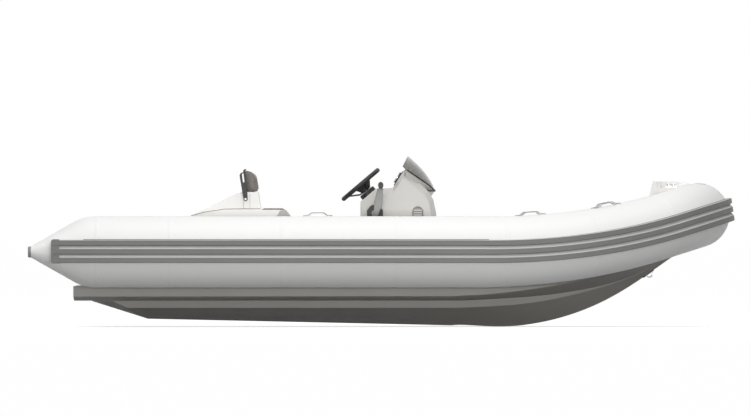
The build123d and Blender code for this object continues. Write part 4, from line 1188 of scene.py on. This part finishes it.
# raised diamonds of the non-skid panels, each from x to x and y to y
nonSkid = {
    "floorPitch": 0.034, "floorHalf": 0.0095, "floorHeight": 0.0012, "floorAbove": 0.16,
    "lidPitch": 0.022, "lidHalf": 0.0066, "lidHeight": 0.0010, "lidAbove": 0.47,
    "lidEdges": (0.075, 0.050, 0.040), "flat": 0.99, "top": 0.72, "shoulder": 0.3, "bury": 0.0004,
    "floor": [
        (-0.610, -0.200, -0.55, 0.55), (0.470, 1.255, -0.50, 0.50), (-0.185, 0.455, 0.340, 0.560),
        (-0.185, 0.455, -0.560, -0.340), (-1.860, -1.420, -0.56, 0.56), (-1.400, -0.625, 0.440, 0.560),
        (-1.400, -0.625, -0.560, -0.440),
    ],
}


def diamondTemplate(name, half, height):
    rings = [[(half * reach * math.cos(t), half * 0.5 * reach * math.sin(t), level) for t in turnsRound(4)]
             for reach, level in ((1.0, -nonSkid["bury"]), (1.0, height * nonSkid["shoulder"]),
                                  (nonSkid["top"], height))]
    return bpy.data.objects.new(name, gridMesh(name, rings, closeEnds=True))


def diamondRows(corners, pitch, surface, above):
    x0, x1, y0, y1 = corners
    starts = [(x, y, above) for i, x in enumerate(np.arange(x0, x1, pitch))
              for y in np.arange(y0 + (pitch * 0.25 if i % 2 else 0), y1, pitch * 0.5)]
    return [(point, facing, forward) for point, facing in castOn(surface, starts, (0, 0, -1))
            if facing.z > nonSkid["flat"]]


floorRows = [row for corners in nonSkid["floor"]
             for row in diamondRows(corners, nonSkid["floorPitch"], "cockpit_floor", nonSkid["floorAbove"])]
floorDiamond = diamondTemplate("floorDiamond", nonSkid["floorHalf"], nonSkid["floorHeight"])
scatter("floor_non_skid", floorRows, floorDiamond, "non_skid")
edgeAft, edgeFore, edgeSide = nonSkid["lidEdges"]
lidPanel = (lidAft + edgeAft, lidFore - edgeFore, lidStarboard + edgeSide, lidPort - edgeSide)
lidRows = diamondRows(lidPanel, nonSkid["lidPitch"], "bow_locker_lid", nonSkid["lidAbove"])
scatter("lid_non_skid", lidRows, diamondTemplate("lidDiamond", nonSkid["lidHalf"], nonSkid["lidHeight"]),
        "non_skid", "bow_lid")
print("non-skid diamonds:", len(floorRows) + len(lidRows))

# strap of the towing eye on the stem
stem = {"from": 1.880, "to": 1.957, "below": -0.3, "half": 0.009, "thickness": 0.0032, "edge": 0.002}
stemLengths = np.linspace(stem["from"], stem["to"], 6)
stemRun = castOn("hull", [(x, 0, stem["below"]) for x in stemLengths], (0, 0, 1))
strapHalf, strapEdge = stem["half"], stem["half"] - stem["edge"]
strap = profileObject("strap", [(0.0, -strapHalf), (stem["thickness"], -strapEdge),
                                (stem["thickness"], strapEdge), (0.0, strapHalf)])
sweep("towing_eye_strap", [stemRun], strap, "black_plastic")

# bead along the top of the rubbing strake, as far as the sheer
bead = {"radius": 0.0032, "end": 2.89, "inset": 0.006, "lift": 0.0012}


def beadPlace(along, side):
    point, _, outboard, radius = collarStation(along)
    flip = Vector((1, side, 1))
    place = point + outboard * (radius + strake["depth"] - bead["inset"])
    return (place + collarUp(along) * (strake["top"] + bead["lift"])) * flip, outboard * flip


beadRuns = [[beadPlace(along, side) for along in np.linspace(0.0, bead["end"], 60)] for side in (-1, 1)]
roundBar("strake_bead", beadRuns, bead["radius"], "strake_rubber")

# sealant where the console and the seat stand on the floor
sealant = {"radius": 0.0042, "height": 0.1455, "around": 96, "beyond": 2.0}


def footRun(nodeName):
    # ring round a body just above the floor
    low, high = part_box(nodeName)
    middle = Vector(((low[0] + high[0]) / 2, 0, sealant["height"]))
    run = []
    for turn in turnsRound(sealant["around"]):
        way = Vector((math.cos(turn), math.sin(turn), 0))
        hit, _, _, _ = surfaceOf(nodeName).ray_cast(middle + way * sealant["beyond"], -way)
        if hit:
            run.append((hit, way))
    return run


footRuns = [footRun(nodeName) for nodeName in ("console_body", "seat_base")]
roundBar("foot_sealant", footRuns, sealant["radius"], "gelcoat_white", closed=True)
print("deck details made")

# floor, backdrop, light and camera
studio = {
    "floorHeight": -0.221, "floorSize": 600.0, "world": 0.36, "floorAlbedo": 0.82,
    "floorBounce": 0.21, "floorLift": 0.70, "aim": (0, 0, 0.3),
    "topPower": 230.0, "topSize": (9.0, 5.0), "topPlace": (0.0, -2.4, 5.6),
    "sidePower": 230.0, "sideSize": (10.0, 1.2), "sidePlace": (0.3, -9.0, 0.35),
}
view = {"distance": 120.0, "frameWidth": 5.40, "centre": (-0.050, 0.634), "sensor": 36.0}


def seenDirectly(tree):
    # 1 for camera, glossy and transmission rays
    path = addNode(tree, "ShaderNodeLightPath").outputs
    both = mathNode(tree, "MAXIMUM", path["Is Camera Ray"], path["Is Glossy Ray"])
    return mathNode(tree, "MAXIMUM", both, path["Is Transmission Ray"])


def makeFloor():
    half, low = studio["floorSize"] / 2, studio["floorHeight"]
    corners = [(-half, -half, low), (half, -half, low), (half, half, low), (-half, half, low)]
    mesh = meshFrom("studio_floor", corners, [(0, 1, 2, 3)])
    material = bpy.data.materials.new("studio_floor")
    material.use_nodes = True
    tree = material.node_tree
    tree.nodes.remove(tree.nodes["Principled BSDF"])
    seen, bounced = (addNode(tree, "ShaderNodeBsdfDiffuse", {"Color": (studio[level],) * 3 + (1.0,)})
                     for level in ("floorAlbedo", "floorBounce"))
    lift = addNode(tree, "ShaderNodeEmission", {"Strength": studio["floorLift"]})
    total = addNode(tree, "ShaderNodeAddShader", {0: seen.outputs[0], 1: lift.outputs[0]})
    choice = addNode(tree, "ShaderNodeMixShader", {0: seenDirectly(tree), 1: bounced.outputs[0],
                                                   2: total.outputs[0]})
    tree.links.new(choice.outputs[0], tree.nodes["Material Output"].inputs["Surface"])
    mesh.materials.append(material)
    addObject("studio_floor", mesh)


def makeWorld():
    world = bpy.data.worlds.new("studio_world")
    bpy.context.scene.world = world
    world.use_nodes = True
    tree = world.node_tree
    background = tree.nodes["Background"]
    background.inputs["Color"].default_value = (1, 1, 1, 1)
    level = rangeNode(tree, seenDirectly(tree), studio["world"], 1.0, 0.0, 1.0)
    tree.links.new(level, background.inputs["Strength"])


def makeLamp(name, power, size, place):
    data = bpy.data.lights.new(name, "AREA")
    data.shape = "RECTANGLE"
    data.size, data.size_y = size
    data.energy = power
    lamp = addObject(name, data)
    lamp.location = place
    lamp.rotation_mode = "QUATERNION"
    lamp.rotation_quaternion = (Vector(studio["aim"]) - Vector(place)).to_track_quat("-Z", "Y")


def makeCamera():
    data = bpy.data.cameras.new("camera")
    data.sensor_width = view["sensor"]
    data.sensor_fit = "HORIZONTAL"
    data.lens = view["sensor"] * view["distance"] / view["frameWidth"]
    data.clip_end = view["distance"] * 4
    camera = addObject("camera", data)
    camera.location = (view["centre"][0], -view["distance"], view["centre"][1])
    camera.rotation_euler = (math.radians(90), 0, 0)
    bpy.context.scene.camera = camera


makeFloor()
makeWorld()
makeLamp("top_lamp", studio["topPower"], studio["topSize"], studio["topPlace"])
makeLamp("side_lamp", studio["sidePower"], studio["sideSize"], studio["sidePlace"])
makeCamera()
bpy.context.scene.view_settings.view_transform = "Standard"
print("studio made")
